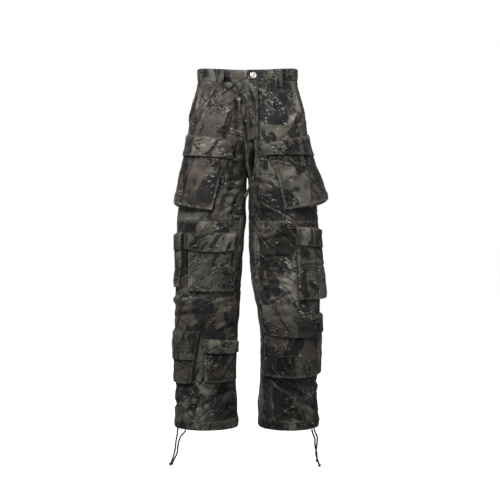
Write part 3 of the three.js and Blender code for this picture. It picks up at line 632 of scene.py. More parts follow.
    def gather_relief(self, beta: Grid, z: Grid) -> Grid:
        """Soft pleats that the elastic draws up in the cloth below the waistband."""
        turned = np.where(beta > 200, 360 - beta, beta)
        below = panel_top(beta) - z
        reach = 30 + 26 * self.ripple.at(np.stack([beta, beta * 0, beta * 0], axis=-1), (9, 9, 9))
        drift = self.ripple.at(np.stack([beta, beta * 0 + 8, z / 40], axis=-1), (14, 14, 2)) * 5
        pleat = (1 + np.sin(2 * np.pi * (turned - GATHER_START) / 7.5 + drift)) / 2
        strength = smooth((turned - GATHER_START) / 14)
        fading = np.exp(-np.maximum(below, 0) / np.maximum(reach, 8))
        return 2.4 * pleat * strength * fading * smooth(below / 6 + 0.4)

    def raised(self, beta: Grid, z: Grid, height: Number) -> Grid:
        """Points of the cloth's inner face with all its relief, moved out by a height."""
        beta, z = np.broadcast_arrays(np.asarray(beta, float), np.asarray(z, float))
        return self.off(beta, z, height + self.fold_height(beta, z) + self.relief(beta, z))

    def calm(self, beta: Grid, z: Grid, height: Number) -> Grid:
        """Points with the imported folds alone, moved out by a height."""
        beta, z = np.broadcast_arrays(np.asarray(beta, float), np.asarray(z, float))
        return self.off(beta, z, height + self.fold_height(beta, z))


class Hold(Enum):
    """How a sheet of cloth is held."""

    HUNG = "hung"
    LAID = "laid"
    STRETCHED = "stretched"
    FOLDED = "folded"


@dataclass
class Cloth:
    """A closed shell of cloth on a grid of points, rows down it and columns across it."""

    node: str
    base: Grid
    facing: Grid
    thickness: Number
    calm: Grid
    hold: Hold
    rests_on: tuple[str, ...] = ()
    is_ring: bool = False
    print_shift: tuple[float, float] = (0.0, 0.0)
    print_turn: float = 0.0
    shade: Number = 1.0
    rubbed: Number = 0.0
    outer: Grid = field(init=False)
    normal: Grid = field(init=False)
    down: Grid = field(init=False)
    across: Grid = field(init=False)

    def __post_init__(self) -> None:
        """Work out the outer face and the distances down and across the sheet."""
        along = np.gradient(self.base, axis=1)
        if self.is_ring:
            along = (np.roll(self.base, -1, axis=1) - np.roll(self.base, 1, axis=1)) / 2
        normal = np.cross(along, np.gradient(self.base, axis=0))
        sign = np.sign(np.mean(np.sum(normal * self.facing, axis=-1)))
        self.normal = unit(normal * sign)
        thick = np.broadcast_to(self.thickness, self.base.shape[:2])
        self.outer = self.base + self.normal * thick[..., None]
        self.down = self.travelled(self.outer, 0)
        self.across = self.travelled(self.outer, 1)

    @staticmethod
    def travelled(points: Grid, axis: int) -> Grid:
        """Length travelled along an axis of a grid of points."""
        steps = np.linalg.norm(np.diff(points, axis=axis), axis=-1)
        start = np.zeros_like(np.take(steps, [0], axis=axis))
        return np.cumsum(np.concatenate([start, steps], axis=axis), axis=axis)

    def spot(self, row: Grid, column: Grid) -> Grid:
        """Points a little proud of the outer face at fractional rows and columns."""
        rows, columns = self.outer.shape[:2]
        r = np.clip(np.floor(row).astype(int), 0, rows - 2)
        c = np.clip(np.floor(column).astype(int), 0, columns - 2)
        y, x = (row - r)[:, None], (column - c)[:, None]

        def blend(grid: Grid) -> Grid:
            top = grid[r, c] * (1 - x) + grid[r, c + 1] * x
            foot = grid[r + 1, c] * (1 - x) + grid[r + 1, c + 1] * x
            return top * (1 - y) + foot * y

        return blend(self.outer) + unit(blend(self.normal)) * STITCH_PROUD

    def line(self, reach: Grid, along: Grid, inset: float, from_end: bool, start: float,
             end: float) -> tuple[Grid, Grid]:
        """A line at an inset from one side of the sheet.

        Args:
            reach: distance from that side, a row for each step of the line.
            along: distance along the line, in the same layout.
            inset: millimetres from the side.
            from_end: whether it is the side where reach ends.
            start: millimetres left out where the line starts.
            end: millimetres left out where it ends.

        Returns:
            The line's steps, and where it lies between the sides at each.
        """
        size = reach.shape[1]
        picks = np.array([np.interp(row[-1] - inset if from_end else inset, row, np.arange(size))
                          for row in reach])
        middle = along[:, size // 2]
        inside = (middle >= start) & (middle <= middle[-1] - end)
        return np.nonzero(inside)[0].astype(float), picks[inside]

    def line_down(self, inset: float, from_end: bool = False, start: float = 0.0, end: float = 0.0) -> Grid:
        """A line down the sheet at an inset from its first or last column."""
        return self.spot(*self.line(self.across, self.down, inset, from_end, start, end))

    def line_across(self, inset: float, from_end: bool = False, start: float = 0.0, end: float = 0.0) -> Grid:
        """A line across the sheet at an inset from its first or last row."""
        columns, rows = self.line(self.down.T, self.across.T, inset, from_end, start, end)
        return self.spot(rows, columns)

    def worn(self) -> Grid:
        """How near each point is to an edge that rubs, from 0 to 1."""
        down, across = self.down, self.across
        away = np.minimum(down, down[-1:] - down)
        if not self.is_ring:
            away = np.minimum(away, np.minimum(across, across[:, -1:] - across))
        return np.maximum(np.exp(-away / 2.2), self.rubbed)

    def stands(self, reach: float) -> Grid:
        """Height of each point over the mean of the cloth within a reach, in millimetres."""
        around = self.outer
        for axis in (0, 1):
            size = around.shape[axis]
            room = min(max(1, round(reach / STEP)), size - 1)
            sides = [(room, room) if k == axis else (0, 0) for k in range(3)]
            wraps = self.is_ring and axis == 1
            how = {"mode": "wrap"} if wraps else {"mode": "reflect", "reflect_type": "odd"}
            padded = np.pad(around, sides, **how)
            total = np.cumsum(np.insert(padded, 0, 0, axis=axis), axis=axis)
            first, span = np.arange(size), 2 * room + 1
            around = (np.take(total, first + span, axis) - np.take(total, first, axis)) / span
        return np.sum((self.outer - around) * self.normal, axis=-1)

    def faded(self) -> Grid:
        """Painted shade that darkens the print in hollows, and a lightening on ridges that is partly wear
        where cloth rubs and partly painted highlight.
        """
        height = self.stands(6.6) * 1.6 + self.stands(23.0)
        return np.clip(1 + 0.14 * (height - np.median(height)), 0.42, 1.3)

    def faces(self) -> tuple[Grid, Grid]:
        """Quads of both faces and of every open edge, with the unwrapped column of each corner.

        Returns:
            Vertex numbers, and grid columns that don't wrap on a ring, four a face.
        """
        rows, columns = self.outer.shape[:2]
        count = columns if self.is_ring else columns - 1
        r, c = (number.ravel() for number in np.indices((rows - 1, count)))
        corners: list[Grid] = []

        def add(where: Grid | slice, order: Sequence[tuple[int, int, int]]) -> None:
            rs, cs = r[where], c[where]
            corners.append(np.stack([np.stack([np.full(len(rs), k), rs + dr, cs + dc], -1)
                                     for k, dr, dc in order], axis=1))

        add(slice(None), [(0, 0, 0), (0, 1, 0), (0, 1, 1), (0, 0, 1)])
        add(slice(None), [(1, 0, 0), (1, 0, 1), (1, 1, 1), (1, 1, 0)])
        add(r == 0, [(1, 0, 0), (0, 0, 0), (0, 0, 1), (1, 0, 1)])
        add(r == rows - 2, [(0, 1, 0), (1, 1, 0), (1, 1, 1), (0, 1, 1)])
        if not self.is_ring:
            add(c == 0, [(0, 0, 0), (1, 0, 0), (1, 1, 0), (0, 1, 0)])
            add(c == count - 1, [(1, 0, 1), (0, 0, 1), (0, 1, 1), (1, 1, 1)])
        found = np.concatenate(corners)
        numbers = (found[..., 0] * rows + found[..., 1]) * columns + found[..., 2] % columns
        return numbers, found

    def build(self, finish: Finish) -> Piece:
        """Args:
            finish: the material of both faces.

        Returns:
            The finished object.
        """
        numbers, corners = self.faces()
        points = np.concatenate([self.outer.reshape(-1, 3), self.base.reshape(-1, 3)])
        a, b, c, d = (points[numbers[:, k]] for k in range(4))
        volume = np.sum(a * np.cross(b, c)) + np.sum(a * np.cross(c, d))
        if volume < 0:
            numbers, corners = numbers[:, ::-1], corners[:, ::-1]
        mesh = bpy.data.meshes.new(f"{self.node}_cloth")
        mesh.from_pydata((points * MM).tolist(), [], numbers.tolist())
        mesh.shade_smooth()
        self.paint(mesh, corners)
        piece = bpy.data.objects.new(mesh.name, mesh)
        bpy.context.collection.objects.link(piece)
        mesh.materials.append(finish)
        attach(piece, "root")
        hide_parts(self.node)
        return piece

    def paint(self, mesh: bpy.types.Mesh, corners: Grid) -> None:
        """Give the mesh its print coordinates, wear, tone with painted shade, and reverse side.

        Args:
            mesh: the mesh to paint.
            corners: layer, row and unwrapped column of each face corner.
        """
        columns = self.outer.shape[1]
        across = self.across - self.across[:, columns // 2][:, None]
        if self.is_ring:
            closing = np.linalg.norm(self.outer[:, 0] - self.outer[:, -1], axis=-1)
            across = np.concatenate([across, (across[:, -1] + closing)[:, None]], axis=1)
        row, column = corners[..., 1].ravel(), corners[..., 2].ravel()
        flat_u = across[row, column]
        flat_v = -self.down[row, column % columns]
        turn = math.radians(self.print_turn)
        cos, sin = math.cos(turn), math.sin(turn)
        uv = np.stack([flat_u * cos - flat_v * sin, flat_u * sin + flat_v * cos], axis=-1) * MM
        layer = mesh.uv_layers.new(name="print")
        layer.data.foreach_set("uv", (uv + np.array(self.print_shift)).ravel())
        count = self.outer.shape[0] * columns
        worn = np.tile(self.worn().ravel(), 2)
        reverse = np.repeat([0.0, 1.0], count)
        depth = np.concatenate([self.outer, self.base])[..., 2].ravel()
        # Painted shade: the colour grows darker towards the bottom, as the light falls off downwards
        painted_falloff = 1.04 - 0.24 * smooth((-depth - 450) / 520)
        shade = np.tile((self.shade * self.faded()).ravel(), 2) * painted_falloff
        for name, values in (("worn", worn), ("reverse", reverse), ("shade", shade)):
            mesh.attributes.new(name, "FLOAT", "POINT").data.foreach_set("value", values)


class Print:
    """Hands out a place on the printed cloth to each piece, no two alike."""

    def __init__(self) -> None:
        """Start the seeded draw."""
        self.rng = np.random.default_rng(41)

    def place(self) -> tuple[float, float]:
        """The next piece's place on the cloth, in metres."""
        return tuple(float(v) for v in self.rng.uniform(-4, 4, 2))


def steps(span: float, least: int = 2) -> int:
    """How many grid steps a span in millimetres takes."""
    return max(least, round(abs(span) / STEP))


@dataclass
class Legs:
    """The front, back and hem pieces of both legs."""

    prints: Print
    finish: Finish
    shades: dict[str, float] = field(default_factory=lambda: {
        "front_upper": 1.0, "front_upper_left": 1.4, "front_thigh": 1.04, "front_lower": 0.94,
        "front_lower_left": 1.14, "back": 1.0, "hem_casing": 0.86})

    def inner_edge(self, leg: Leg, z: Grid, is_back: bool) -> Grid:
        """Degrees round the leg of a panel's inner edge."""
        centre = leg.centre_beta(np.maximum(z, THIGH_SEAM), is_back)
        inseam = leg.inseam.at(z)
        seam = 360 + inseam - EDGE_DEGREES if is_back else inseam + EDGE_DEGREES
        return np.where(z > THIGH_SEAM, centre, seam)

    def front(self, leg: Leg, name: str, top: float | None, foot: float) -> Cloth:
        """One front panel between two heights.

        Args:
            leg: the leg it is on.
            name: the panel's name without its side.
            top: its top edge, or None for the waist seam.
            foot: its lower edge.

        Returns:
            The panel.
        """
        tall = (0 if top is None else top) - foot
        v = np.linspace(0, 1, steps(tall) + 1)[:, None]
        u = np.linspace(0, 1, steps(270) + 1)[None, :]
        beta = lerp(-60, SIDE_SEAM, u) + 0 * v
        for _ in range(3):
            z = lerp(panel_top(beta) if top is None else top, foot, v) + 0 * u
            beta = lerp(self.inner_edge(leg, z, False), SIDE_SEAM - EDGE_DEGREES, u)
        node = f"{name}_{leg.side.word}"
        return Cloth(node, leg.raised(beta, z, 0), leg.outward(beta, z), CLOTH, leg.calm(beta, z, 0),
                     Hold.HUNG, print_shift=self.prints.place(),
                     shade=self.shades.get(node, self.shades[name]) * leg.dimmed(beta, z))

    def back(self, leg: Leg) -> Cloth:
        """The back panel, in one length from the waist seam to the casing."""
        v = np.linspace(0, 1, steps(CASING_SEAM) + 1)[:, None]
        u = np.linspace(0, 1, steps(330) + 1)[None, :]
        beta = lerp(SIDE_SEAM, 270, u) + 0 * v
        for _ in range(3):
            z = lerp(panel_top(beta), CASING_SEAM + SEAM_GAP / 2, v) + 0 * u
            beta = lerp(SIDE_SEAM + EDGE_DEGREES, self.inner_edge(leg, z, True), u)
        return Cloth(f"back_{leg.side.word}", leg.raised(beta, z, 0), leg.outward(beta, z), CLOTH,
                     leg.calm(beta, z, 0), Hold.HUNG, print_shift=self.prints.place(),
                     shade=self.shades["back"] * leg.dimmed(beta, z))

    def casing(self, leg: Leg) -> Cloth:
        """The hem's casing, drawn in a little by its cord."""
        top = CASING_SEAM - SEAM_GAP / 2
        v = np.linspace(0, 1, 12)[:, None]
        count = steps(600)
        beta = -90 + np.arange(count)[None, :] * 360 / count + 0 * v
        z = lerp(top, HEM, v) + 0 * beta
        drift = leg.ripple.at(np.stack([beta, beta * 0, beta * 0 + 3], -1), (22, 22, 22)) * 6
        turns = np.radians(beta)
        pucker = 0.55 * np.sin(38 * turns + drift) * smooth(v * 2.4) * smooth((1.15 - v) * 3)
        swell = 0.2 * np.sin(np.pi * v) - 0.5 * smooth((v - 0.84) / 0.16)
        thick = BAND * (0.55 + 0.45 * smooth(np.minimum(v, 1 - v) / 0.14)) + 0 * beta
        return Cloth(f"hem_casing_{leg.side.word}", leg.raised(beta, z, pucker + swell),
                     leg.outward(beta, z), thick, leg.calm(beta, z, 0), Hold.HUNG, is_ring=True,
                     print_shift=self.prints.place(), shade=self.shades["hem_casing"])

    def build(self, legs: Sequence[Leg], stitching: Stitching) -> None:
        """Build every piece of both legs with its topstitching.

        Args:
            legs: the two legs.
            stitching: takes the stitch lines.
        """
        for leg in legs:
            upper = self.front(leg, "front_upper", None, THIGH_SEAM + SEAM_GAP / 2)
            thigh = self.front(leg, "front_thigh", THIGH_SEAM - SEAM_GAP / 2, KNEE_SEAM + SEAM_GAP / 2)
            lower = self.front(leg, "front_lower", KNEE_SEAM - SEAM_GAP / 2, CASING_SEAM + SEAM_GAP / 2)
            back, casing = self.back(leg), self.casing(leg)
            for panel in (upper, thigh, lower, back, casing):
                panel.build(self.finish)
            stitching.add(Tier.LEGS, [
                back.line_down(2.6), back.line_down(8.6),
                thigh.line_across(2.6), thigh.line_across(8.2),
                lower.line_across(2.6), lower.line_across(8.2),
                back.line_down(2.8, from_end=True, start=12),
                casing.line_across(2.4), casing.line_across(23.0),
            ])
            if leg.side is R:
                stitching.add(Tier.LEGS, [upper.line_down(3.0, start=4, end=60)])


@dataclass
class Waistband:
    """The waistband in three pieces, with the slot for its drawcord and its elastic gathers."""

    prints: Print
    finish: Finish
    slot_x: tuple[float, float] = (42.3, 68.3)
    slot_v: tuple[float, float] = (0.677, 0.907)
    rows: int = 16
    shade: float = 0.98

    @staticmethod
    def gathers(beta: Grid, start: float, end: float, count: int) -> Grid:
        """Outward puffs of the elastic, uneven in width and height."""
        t = (beta - start) / (end - start)
        sway = 0.16 * np.sin(t * 17.0) + 0.11 * np.sin(t * 41.0 + 1.3)
        puff = (1 - np.cos((t * count + sway) * 2 * np.pi)) / 2
        tall = 0.78 + 0.22 * np.sin(t * 23.0 + 0.7)
        ends = smooth(t * count * 2) * smooth((1 - t) * count * 2)
        return np.where((t > 0) & (t < 1), GATHER_HEIGHT * puff * tall * ends, 0)

    def piece(self, leg: Leg, node: str, betas: Grid, rows: Grid, lift: Grid,
              slot: bool, hold: Hold) -> Cloth:
        """One piece of the band.

        Args:
            leg: the leg whose oval it follows.
            node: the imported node.
            betas: degrees round the waist, one a column.
            rows: shares down the band, one a row.
            lift: how far each column stands off the oval, without the gathers' profile.
            slot: whether the piece has the drawcord's slot.
            hold: how the piece is held.

        Returns:
            The piece.
        """
        beta, v = betas[None, :] + 0 * rows[:, None], rows[:, None] + 0 * betas[None, :]
        z = waist_line(beta) + lerp(BAND_HEIGHT / 2, -BAND_HEIGHT / 2, v)
        place = leg.plain(beta, z)
        soft = leg.ripple.at(place, (26, 26, 16)) * 0.9 + leg.ripple.at(place + 90, (11, 11, 9)) * 0.35
        pinch = sum(0.5 * bell((v - row) * BAND_HEIGHT, 1.6) for row in BAND_EDGES)
        drawn = smooth((beta - GATHER_START) / 4)
        pinch = pinch + sum(1.1 * drawn * bell((v - row) * BAND_HEIGHT, 1.9) for row in ELASTIC_ROWS)
        height = lift[None, :] * (0.62 + 0.38 * np.sin(np.pi * v)) + soft * np.sin(np.pi * v) - pinch
        thick = BAND * (0.5 + 0.5 * smooth(np.minimum(v, 1 - v) / 0.1))
        # Painted shade along the elastic's stitched rows, where the cloth is pinched into grooves
        painted_row_shade = sum(bell((v - row) * BAND_HEIGHT, 1.8) for row in ELASTIC_ROWS)
        shade = self.shade * (1 - 0.5 * drawn * painted_row_shade)
        if slot:
            x = np.abs(place[..., 0])
            middle, reach = sum(self.slot_x) / 2, (self.slot_x[1] - self.slot_x[0]) / 2
            centre, tall = sum(self.slot_v) / 2, (self.slot_v[1] - self.slot_v[0]) / 2
            aside = np.maximum(np.abs(x - middle) - reach - 0.1, 0)
            above = np.maximum(np.abs(v - centre) - tall - 0.003, 0) * BAND_HEIGHT
            away = np.hypot(aside, above)
            thick = np.where(away > 0, thick, 0.5)
            # Painted shadow round the drawcord's slot and painted shade on its floor
            shade = shade * np.where(away > 0, 1 - 0.5 * bell(away, 3), 0.1)
        base = leg.off(beta, z, np.maximum(height, -0.2))
        return Cloth(node, base, leg.outward(beta, z), thick, leg.off(beta, z, lift[None, :]), hold,
                     print_shift=self.prints.place(), print_turn=90 if "back" in node else 4, shade=shade)

    def build(self, legs: Sequence[Leg], stitching: Stitching) -> None:
        """Build the three pieces with their stitch lines and the slot.

        Args:
            legs: the two legs, whose ovals meet at the waist.
            stitching: takes the stitch lines.
        """
        right, left = legs
        plain_rows = np.linspace(0, 1, self.rows + 1)
        fine = min(STEP, 2.6) / 2.6
        for leg in legs:
            start = float(leg.beta_at(-UNDERLAP if leg.side is R else BAND_START, 0.0))
            betas = np.arange(start, SIDE_SEAM - EDGE_DEGREES, fine)
            betas = np.append(betas[:-1], SIDE_SEAM - EDGE_DEGREES)
            rows = plain_rows
            if leg.side is R:
                edges = [float(leg.beta_at(x, 0.0)) for x in self.slot_x]
                for edge in edges:
                    betas[np.argmin(np.abs(betas - edge))] = edge
                rows = plain_rows.copy()
                for edge in self.slot_v:
                    rows[np.argmin(np.abs(rows - edge))] = edge
            lift = self.gathers(betas, GATHER_START, SIDE_SEAM, FRONT_GATHERS)
            if leg.side is L:
                x = left.plain(betas, betas * 0)[..., 0]
                lift = lift + (BAND + SEAM_GAP) * (1 - smooth((x - OVERLAP) / OVERLAP_EASE))
            node = f"waistband_front_{leg.side.word}"
            band = self.piece(leg, node, betas, rows, lift, leg.side is R, Hold.FOLDED)
            band.build(self.finish)
            start = float(band.across[0, int(np.searchsorted(betas, GATHER_START))])
            lines = [band.line_across(3.2), band.line_across(3.4, from_end=True),
                     band.line_across(14.0, start=start), band.line_across(24.6, start=start)]
            if leg.side is L:
                lines.append(band.line_down(3.0, start=3, end=3))
            else:
                lines[:2] = [line[28:] for line in lines[:2]]
            stitching.add(Tier.WAIST, lines)
        first = SIDE_SEAM + EDGE_DEGREES
        betas = np.linspace(first, 360 - first, steps(330 * min(1.0, 1 / fine) * 1.3) + 1)
        band = self.piece(left, "waistband_back", betas, plain_rows,
                          self.gathers(betas, first, 360 - first, BACK_GATHERS), False, Hold.STRETCHED)
        band.build(self.finish)
        stitching.add(Tier.WAIST, [band.line_across(3.2), band.line_across(3.4, from_end=True),
                                   band.line_across(14.0), band.line_across(24.6)])


@dataclass
class BeltLoops:
    """Five belt loops, folded strips that stand off the waistband."""

    prints: Print
    finish: Finish
    width: float = 24.0
    tail: float = 17.0
    bulge: float = 8.0
    places: tuple[tuple[str, Side, float], ...] = (
        ("belt_loop_front_right", R, 31.0), ("belt_loop_front_left", L, 36.0),
        ("belt_loop_side_right", R, 125.0), ("belt_loop_side_left", L, 125.0),
        ("belt_loop_back", L, 180.0))

    def loop(self, leg: Leg, node: str, beta: float) -> Cloth:
        """One loop.

        Args:
            leg: the leg whose oval it follows.
            node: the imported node.
            beta: its middle, in degrees round the waist.

        Returns:
            The loop.
        """
        t = np.linspace(0, 1, 27)[:, None]
        k = np.linspace(-1, 1, 11)[None, :]
        turn = math.radians(beta)
        per_degree = math.radians(1) * math.hypot(float(leg.half_width(0.0)) * math.cos(turn),
                                                  float(leg.front.at(0.0)) * math.sin(turn))
        betas = beta + k * self.width / 2 / per_degree + 0 * t
        z = waist_line(betas) + lerp(BAND_HEIGHT / 2 - 1, -BAND_HEIGHT / 2 - self.tail, t)
        over = BAND + STACK_GAP + (GATHER_HEIGHT + STACK_GAP if beta > GATHER_START else 0)
        seat = lerp(over, SEAT + 0.6, smooth((t - 0.68) / 0.22))
        crown = 0.5 * (1 - k**2) * np.sin(np.pi * t)
        height = seat + self.bulge * np.sin(np.pi * t) + crown
        ripple = leg.relief(betas, z) * smooth((t - 0.8) / 0.15)
        return Cloth(node, leg.off(betas, z, height + ripple), leg.outward(betas, z), CLOTH,
                     leg.off(betas, z, height + 0 * betas), Hold.LAID,
                     print_shift=self.prints.place(), print_turn=12)

    def build(self, legs: Sequence[Leg], stitching: Stitching) -> None:
        """Build the loops with two stitch lines and a bar tack each end."""
        for node, side, beta in self.places:
            loop = self.loop(legs[0 if side is R else 1], node, beta)
            loop.build(self.finish)
            tacks = [loop.line_across(d, from_end=end, start=3, end=3)
                     for end in (False, True) for d in (2.2, 2.9, 3.6)]
            stitching.add(Tier.WAIST, [loop.line_down(3.2), loop.line_down(3.2, from_end=True), *tacks])


@dataclass
class Fly:
    """The fly's placket on the left front, sewn along a curve."""

    prints: Print
    finish: Finish
    inner: float = 3.0
    outer: float = 31.0
    length: float = 168.0
    curve: float = 0.24
    seat: float = SEAT + 0.5

    def placket(self, leg: Leg) -> Cloth:
        """The placket, as wide as its curve allows at each height."""
        t = np.linspace(0, 1, 60)[:, None]
        k = np.linspace(0, 1, 13)[None, :]
        z = panel_top(0) - 1 - t * self.length + 0 * k
        into = np.clip((t - 1 + self.curve) / self.curve, 0, 1)
        reach = lerp(self.inner + 5, self.outer, np.sqrt(1 - into**2))
        beta = leg.beta_at(lerp(self.inner, reach, k), z)
        crown = 0.5 * smooth(np.minimum(k, 1 - k) / 0.2)
        return Cloth("fly_placket", leg.raised(beta, z, self.seat + crown - 0.4), leg.outward(beta, z), CLOTH,
                     leg.calm(beta, z, self.seat), Hold.LAID, ("front_upper_left_cloth",),
                     print_shift=self.prints.place(), print_turn=3, shade=0.8,
                     rubbed=bell(k, 0.07) + 0.8 * bell(k - 0.93, 0.05) + 0 * t)

    def build(self, leg: Leg, stitching: Stitching) -> None:
        """Build the placket with its double topstitching."""
        placket = self.placket(leg)
        placket.build(self.finish)
        stitching.add(Tier.WAIST, [placket.line_down(2.4), placket.line_down(2.6, from_end=True),
                                   placket.line_down(7.6, from_end=True, end=24)])


@dataclass(frozen=True)
class WeltSizes:
    """Where a slash pocket's welt runs on the front."""

    side: Side
    beta: float
    z: float
    to_beta: float
    to_z: float


@dataclass
class Welts:
    """The welts of the two slash pockets."""

    prints: Print
    finish: Finish
    width: float = 8.0
    seat: float = SEAT + 0.5
    places: tuple[WeltSizes, ...] = (WeltSizes(R, 36, -56, 51, -146), WeltSizes(L, 44, -56, 57, -146))

    def build(self, legs: Sequence[Leg], stitching: Stitching) -> None:
        """Build both welts, each a strip with a soft crown."""
        for place in self.places:
            leg = legs[0 if place.side is R else 1]
            t = np.linspace(0, 1, 34)[:, None]
            k = np.linspace(-1, 1, 7)[None, :]
            beta = lerp(place.beta, place.to_beta, t) + k * self.width / 2 / MM_PER_DEGREE
            z = lerp(place.z, place.to_z, t) + 0 * k
            crown = 0.7 * (1 - k**2) + 0 * t
            welt = Cloth(f"slash_pocket_welt_{place.side.word}", leg.raised(beta, z, self.seat + crown),
                         leg.outward(beta, z), TRIM, leg.calm(beta, z, self.seat), Hold.LAID,
                         (f"front_upper_{place.side.word}_cloth",), print_shift=self.prints.place(),
                         print_turn=-20, shade=1.04)
            welt.build(self.finish)
            stitching.add(Tier.WAIST, [welt.line_down(1.8), welt.line_down(1.8, from_end=True)])


@dataclass
class Pocket:
    """A bellows pocket and its flap."""

    sizes: PocketSizes
    leg: Leg
    prints: Print
    finish: Finish
    gusset_steps: int = 7

    def ripples(self, u: Grid, v: Grid) -> Grid:
        """Waves and small creases of the pocket's face, in millimetres."""
        s = self.sizes
        place = np.stack([u * 160 + s.top_inner[0] * 3, v * 190 + s.top_inner[1], u * 0 + 7], -1)
        broad = self.leg.ripple.at(place, (62, 58, 50)) * 4.2
        sharp = np.clip(1 - 2.8 * np.abs(self.leg.ripple.at(place + 77, (38, 30, 50))), -0.2, 1) * 1.5
        fine = self.leg.ripple.at(place + 13, (15, 13, 50)) * 0.55
        return broad + sharp + fine

    def folded(self, u: Grid, v: Grid, wide: float, tall: float) -> Grid:
        """The step beyond the pocket's pleat and the tuck across its face.

        Args:
            u: shares across the pocket.
            v: shares down it.
            wide: its width in millimetres.
            tall: its height in millimetres.

        Returns:
            Heights in millimetres.
        """
        s = self.sizes
        past = (u - lerp(*s.pleat, v)) * wide
        step = -s.pleat_drop * smooth(past / 1.8) * np.exp(-np.maximum(past, 0) / 26) * smooth(v / 0.2)
        away = (v - s.tuck) * tall + 5 * np.sin(u * 5)
        tuck = 1.4 * bell(away + 6, 6) - 2.6 * bell(away, 2.6)
        return step + tuck * (s.tuck > 0) * smooth(np.minimum(u, 1 - u) * wide / 20)

    def face_edge(self) -> float:
        """The gusset's share of the pocket's width."""
        return GUSSET_DEGREES / (self.sizes.top_outer[0] - self.sizes.top_inner[0])

    def body(self) -> Cloth:
        """The pocket's tray: face, gussets at its sides and its underside."""
        s = self.sizes
        edge = self.face_edge()
        wide = (s.top_outer[0] - s.top_inner[0]) * MM_PER_DEGREE * 1.3
        tall = s.top_inner[1] - s.foot_inner[1]
        rise = np.linspace(0, 1, self.gusset_steps + 1)[:-1]
        flat = np.linspace(edge, 1 - edge, steps(wide) + 1)
        middle = sum(s.pleat) / 2
        beside = int(np.argmin(np.abs(flat - middle)))
        flat[beside:beside + 2] = middle - 0.002, middle + 1.8 / wide
        us = np.concatenate([edge * rise**2.2, flat, 1 - (edge * rise**2.2)[::-1]])
        up = np.concatenate([np.sin(rise * np.pi / 2), np.ones(len(flat)), np.sin(rise * np.pi / 2)[::-1]])
        face = np.linspace(0, 1, steps(tall) + 1)
        fall = np.linspace(0, 1, self.gusset_steps + 1)[1:]
        u = us[None, :]
        underside = lerp(s.underside[0], s.underside[1], u) / tall
        v = np.concatenate([face[:, None] * (1 - underside),
                            1 - underside + underside * (1 - (1 - fall[:, None]) ** 1.7)])
        off = np.concatenate([np.ones(len(face)), 1 - fall**1.7])[:, None]
        pleat = lerp(*s.pleat, v)
        u = np.where(u < middle, u * pleat / middle, 1 - (1 - u) * (1 - pleat) / (1 - middle))
        beta, z = between((s.top_inner, s.top_outer, s.foot_inner, s.foot_outer), u, v)
        z = z - s.bow * 4 * u * (1 - u) * v
        depth = depth_of(s, np.clip(u, edge, 1 - edge), v)
        rim = np.minimum(np.minimum(u - edge, 1 - edge - u) * wide, (1 - underside - v) * tall)
        groove = 0.7 * bell(rim - 5.5, 1.6)
        wave = (self.ripples(u, v) + self.folded(u, v, wide, tall)) * smooth(rim / 12) - groove * (rim > 0)
        height = SEAT + (depth + np.maximum(wave, 1 - depth)) * up[None, :] * off
        points = self.leg.calm(beta, z, height)
        calm = self.leg.calm(beta, z, SEAT + depth * up[None, :] * off)
        side = s.side.word
        rubbed = bell(rim, 2.6)
        # Painted shadow under the flap's free edge, and painted shade on the side gussets and the underside
        end = lerp(s.flap.end_inner[1], s.flap.end_outer[1], u) - s.flap.bow * 4 * u * (1 - u)
        under = bell(np.maximum(end - z, 0), 8)
        shade = s.shade * (1 - 0.6 * under) * (1 - 0.4 * (1 - up[None, :] * off))
        return Cloth(f"{s.name}_{side}", points, self.leg.outward(beta, z), CLOTH, calm, Hold.FOLDED,
                     print_shift=self.prints.place(), print_turn=s.print_turn, shade=shade, rubbed=rubbed)

    def flap(self) -> Cloth:
        """The flap, sewn above the pocket's mouth and lying over its top."""
        s, f = self.sizes, self.sizes.flap
        wide = (f.top_outer[0] - f.top_inner[0]) * MM_PER_DEGREE * 1.3
        tall = f.top_inner[1] - f.end_inner[1]
        root = np.linspace(0, FLAP_RISE, 6)[:-1]
        t = np.concatenate([root, np.linspace(FLAP_RISE, 1, steps(tall * (1 - FLAP_RISE), 8) + 1)])[:, None]
        a = np.linspace(0, 1, steps(wide) + 1)[None, :]
        beta, z = between((f.top_inner, f.top_outer, f.end_inner, f.end_outer), a, t)
        z = z - f.bow * 4 * a * (1 - a) * t
        u, v = place_on(s, beta, z)
        cover = depth_of(s, np.clip(u, 0.03, 0.97), v) + CLOTH + STACK_GAP
        edge = self.face_edge()
        rim = np.minimum(np.minimum(u - edge, 1 - edge - u) * wide, 60)
        below = np.maximum(self.ripples(u, v) * smooth(rim / 16), 1 - cover)
        from_left, from_top = a * wide + 11 * s.print_turn + 0 * t, t * tall + s.top_inner[1] + 0 * a
        place = np.stack([from_left, from_top, 0 * (a + t)], -1)
        wave = np.maximum(self.leg.ripple.at(place, (40, 34, 30)), -0.1) * 2.4
        curl = 1.6 * smooth((t - 0.72) / 0.28) * (0.6 + self.leg.ripple.at(place + 31, (46, 300, 30)))
        curl = curl * smooth((beta + 96) / 30) * (1 - 0.8 * smooth((np.abs(beta) - 55) / 25))
        rows_away = (1 - t) * tall
        sides_away = np.minimum(a, 1 - a) * wide
        away = np.minimum(rows_away, sides_away)
        groove = 0.45 * bell(away - 5.5, 1.4) + 0.4 * bell(away - 1.5, 1.2)
        lift = (cover + np.maximum(below, 0) + wave * smooth((t - 0.1) / 0.3)) * smooth(t / FLAP_RISE)
        height = SEAT + lift + t + curl - groove * smooth((t - 0.1) / 0.2) * 0.6
        points = self.leg.calm(beta, z, height)
        calm = self.leg.calm(beta, z, SEAT + cover * smooth(t / FLAP_RISE) + t)
        side = s.side.word
        return Cloth(f"{s.name}_flap_{side}", points, self.leg.outward(beta, z), CLOTH, calm, Hold.LAID,
                     (f"{s.name}_{side}_cloth",), print_shift=self.prints.place(),
                     print_turn=-s.print_turn * 0.7 + 11, shade=s.shade * 1.03)

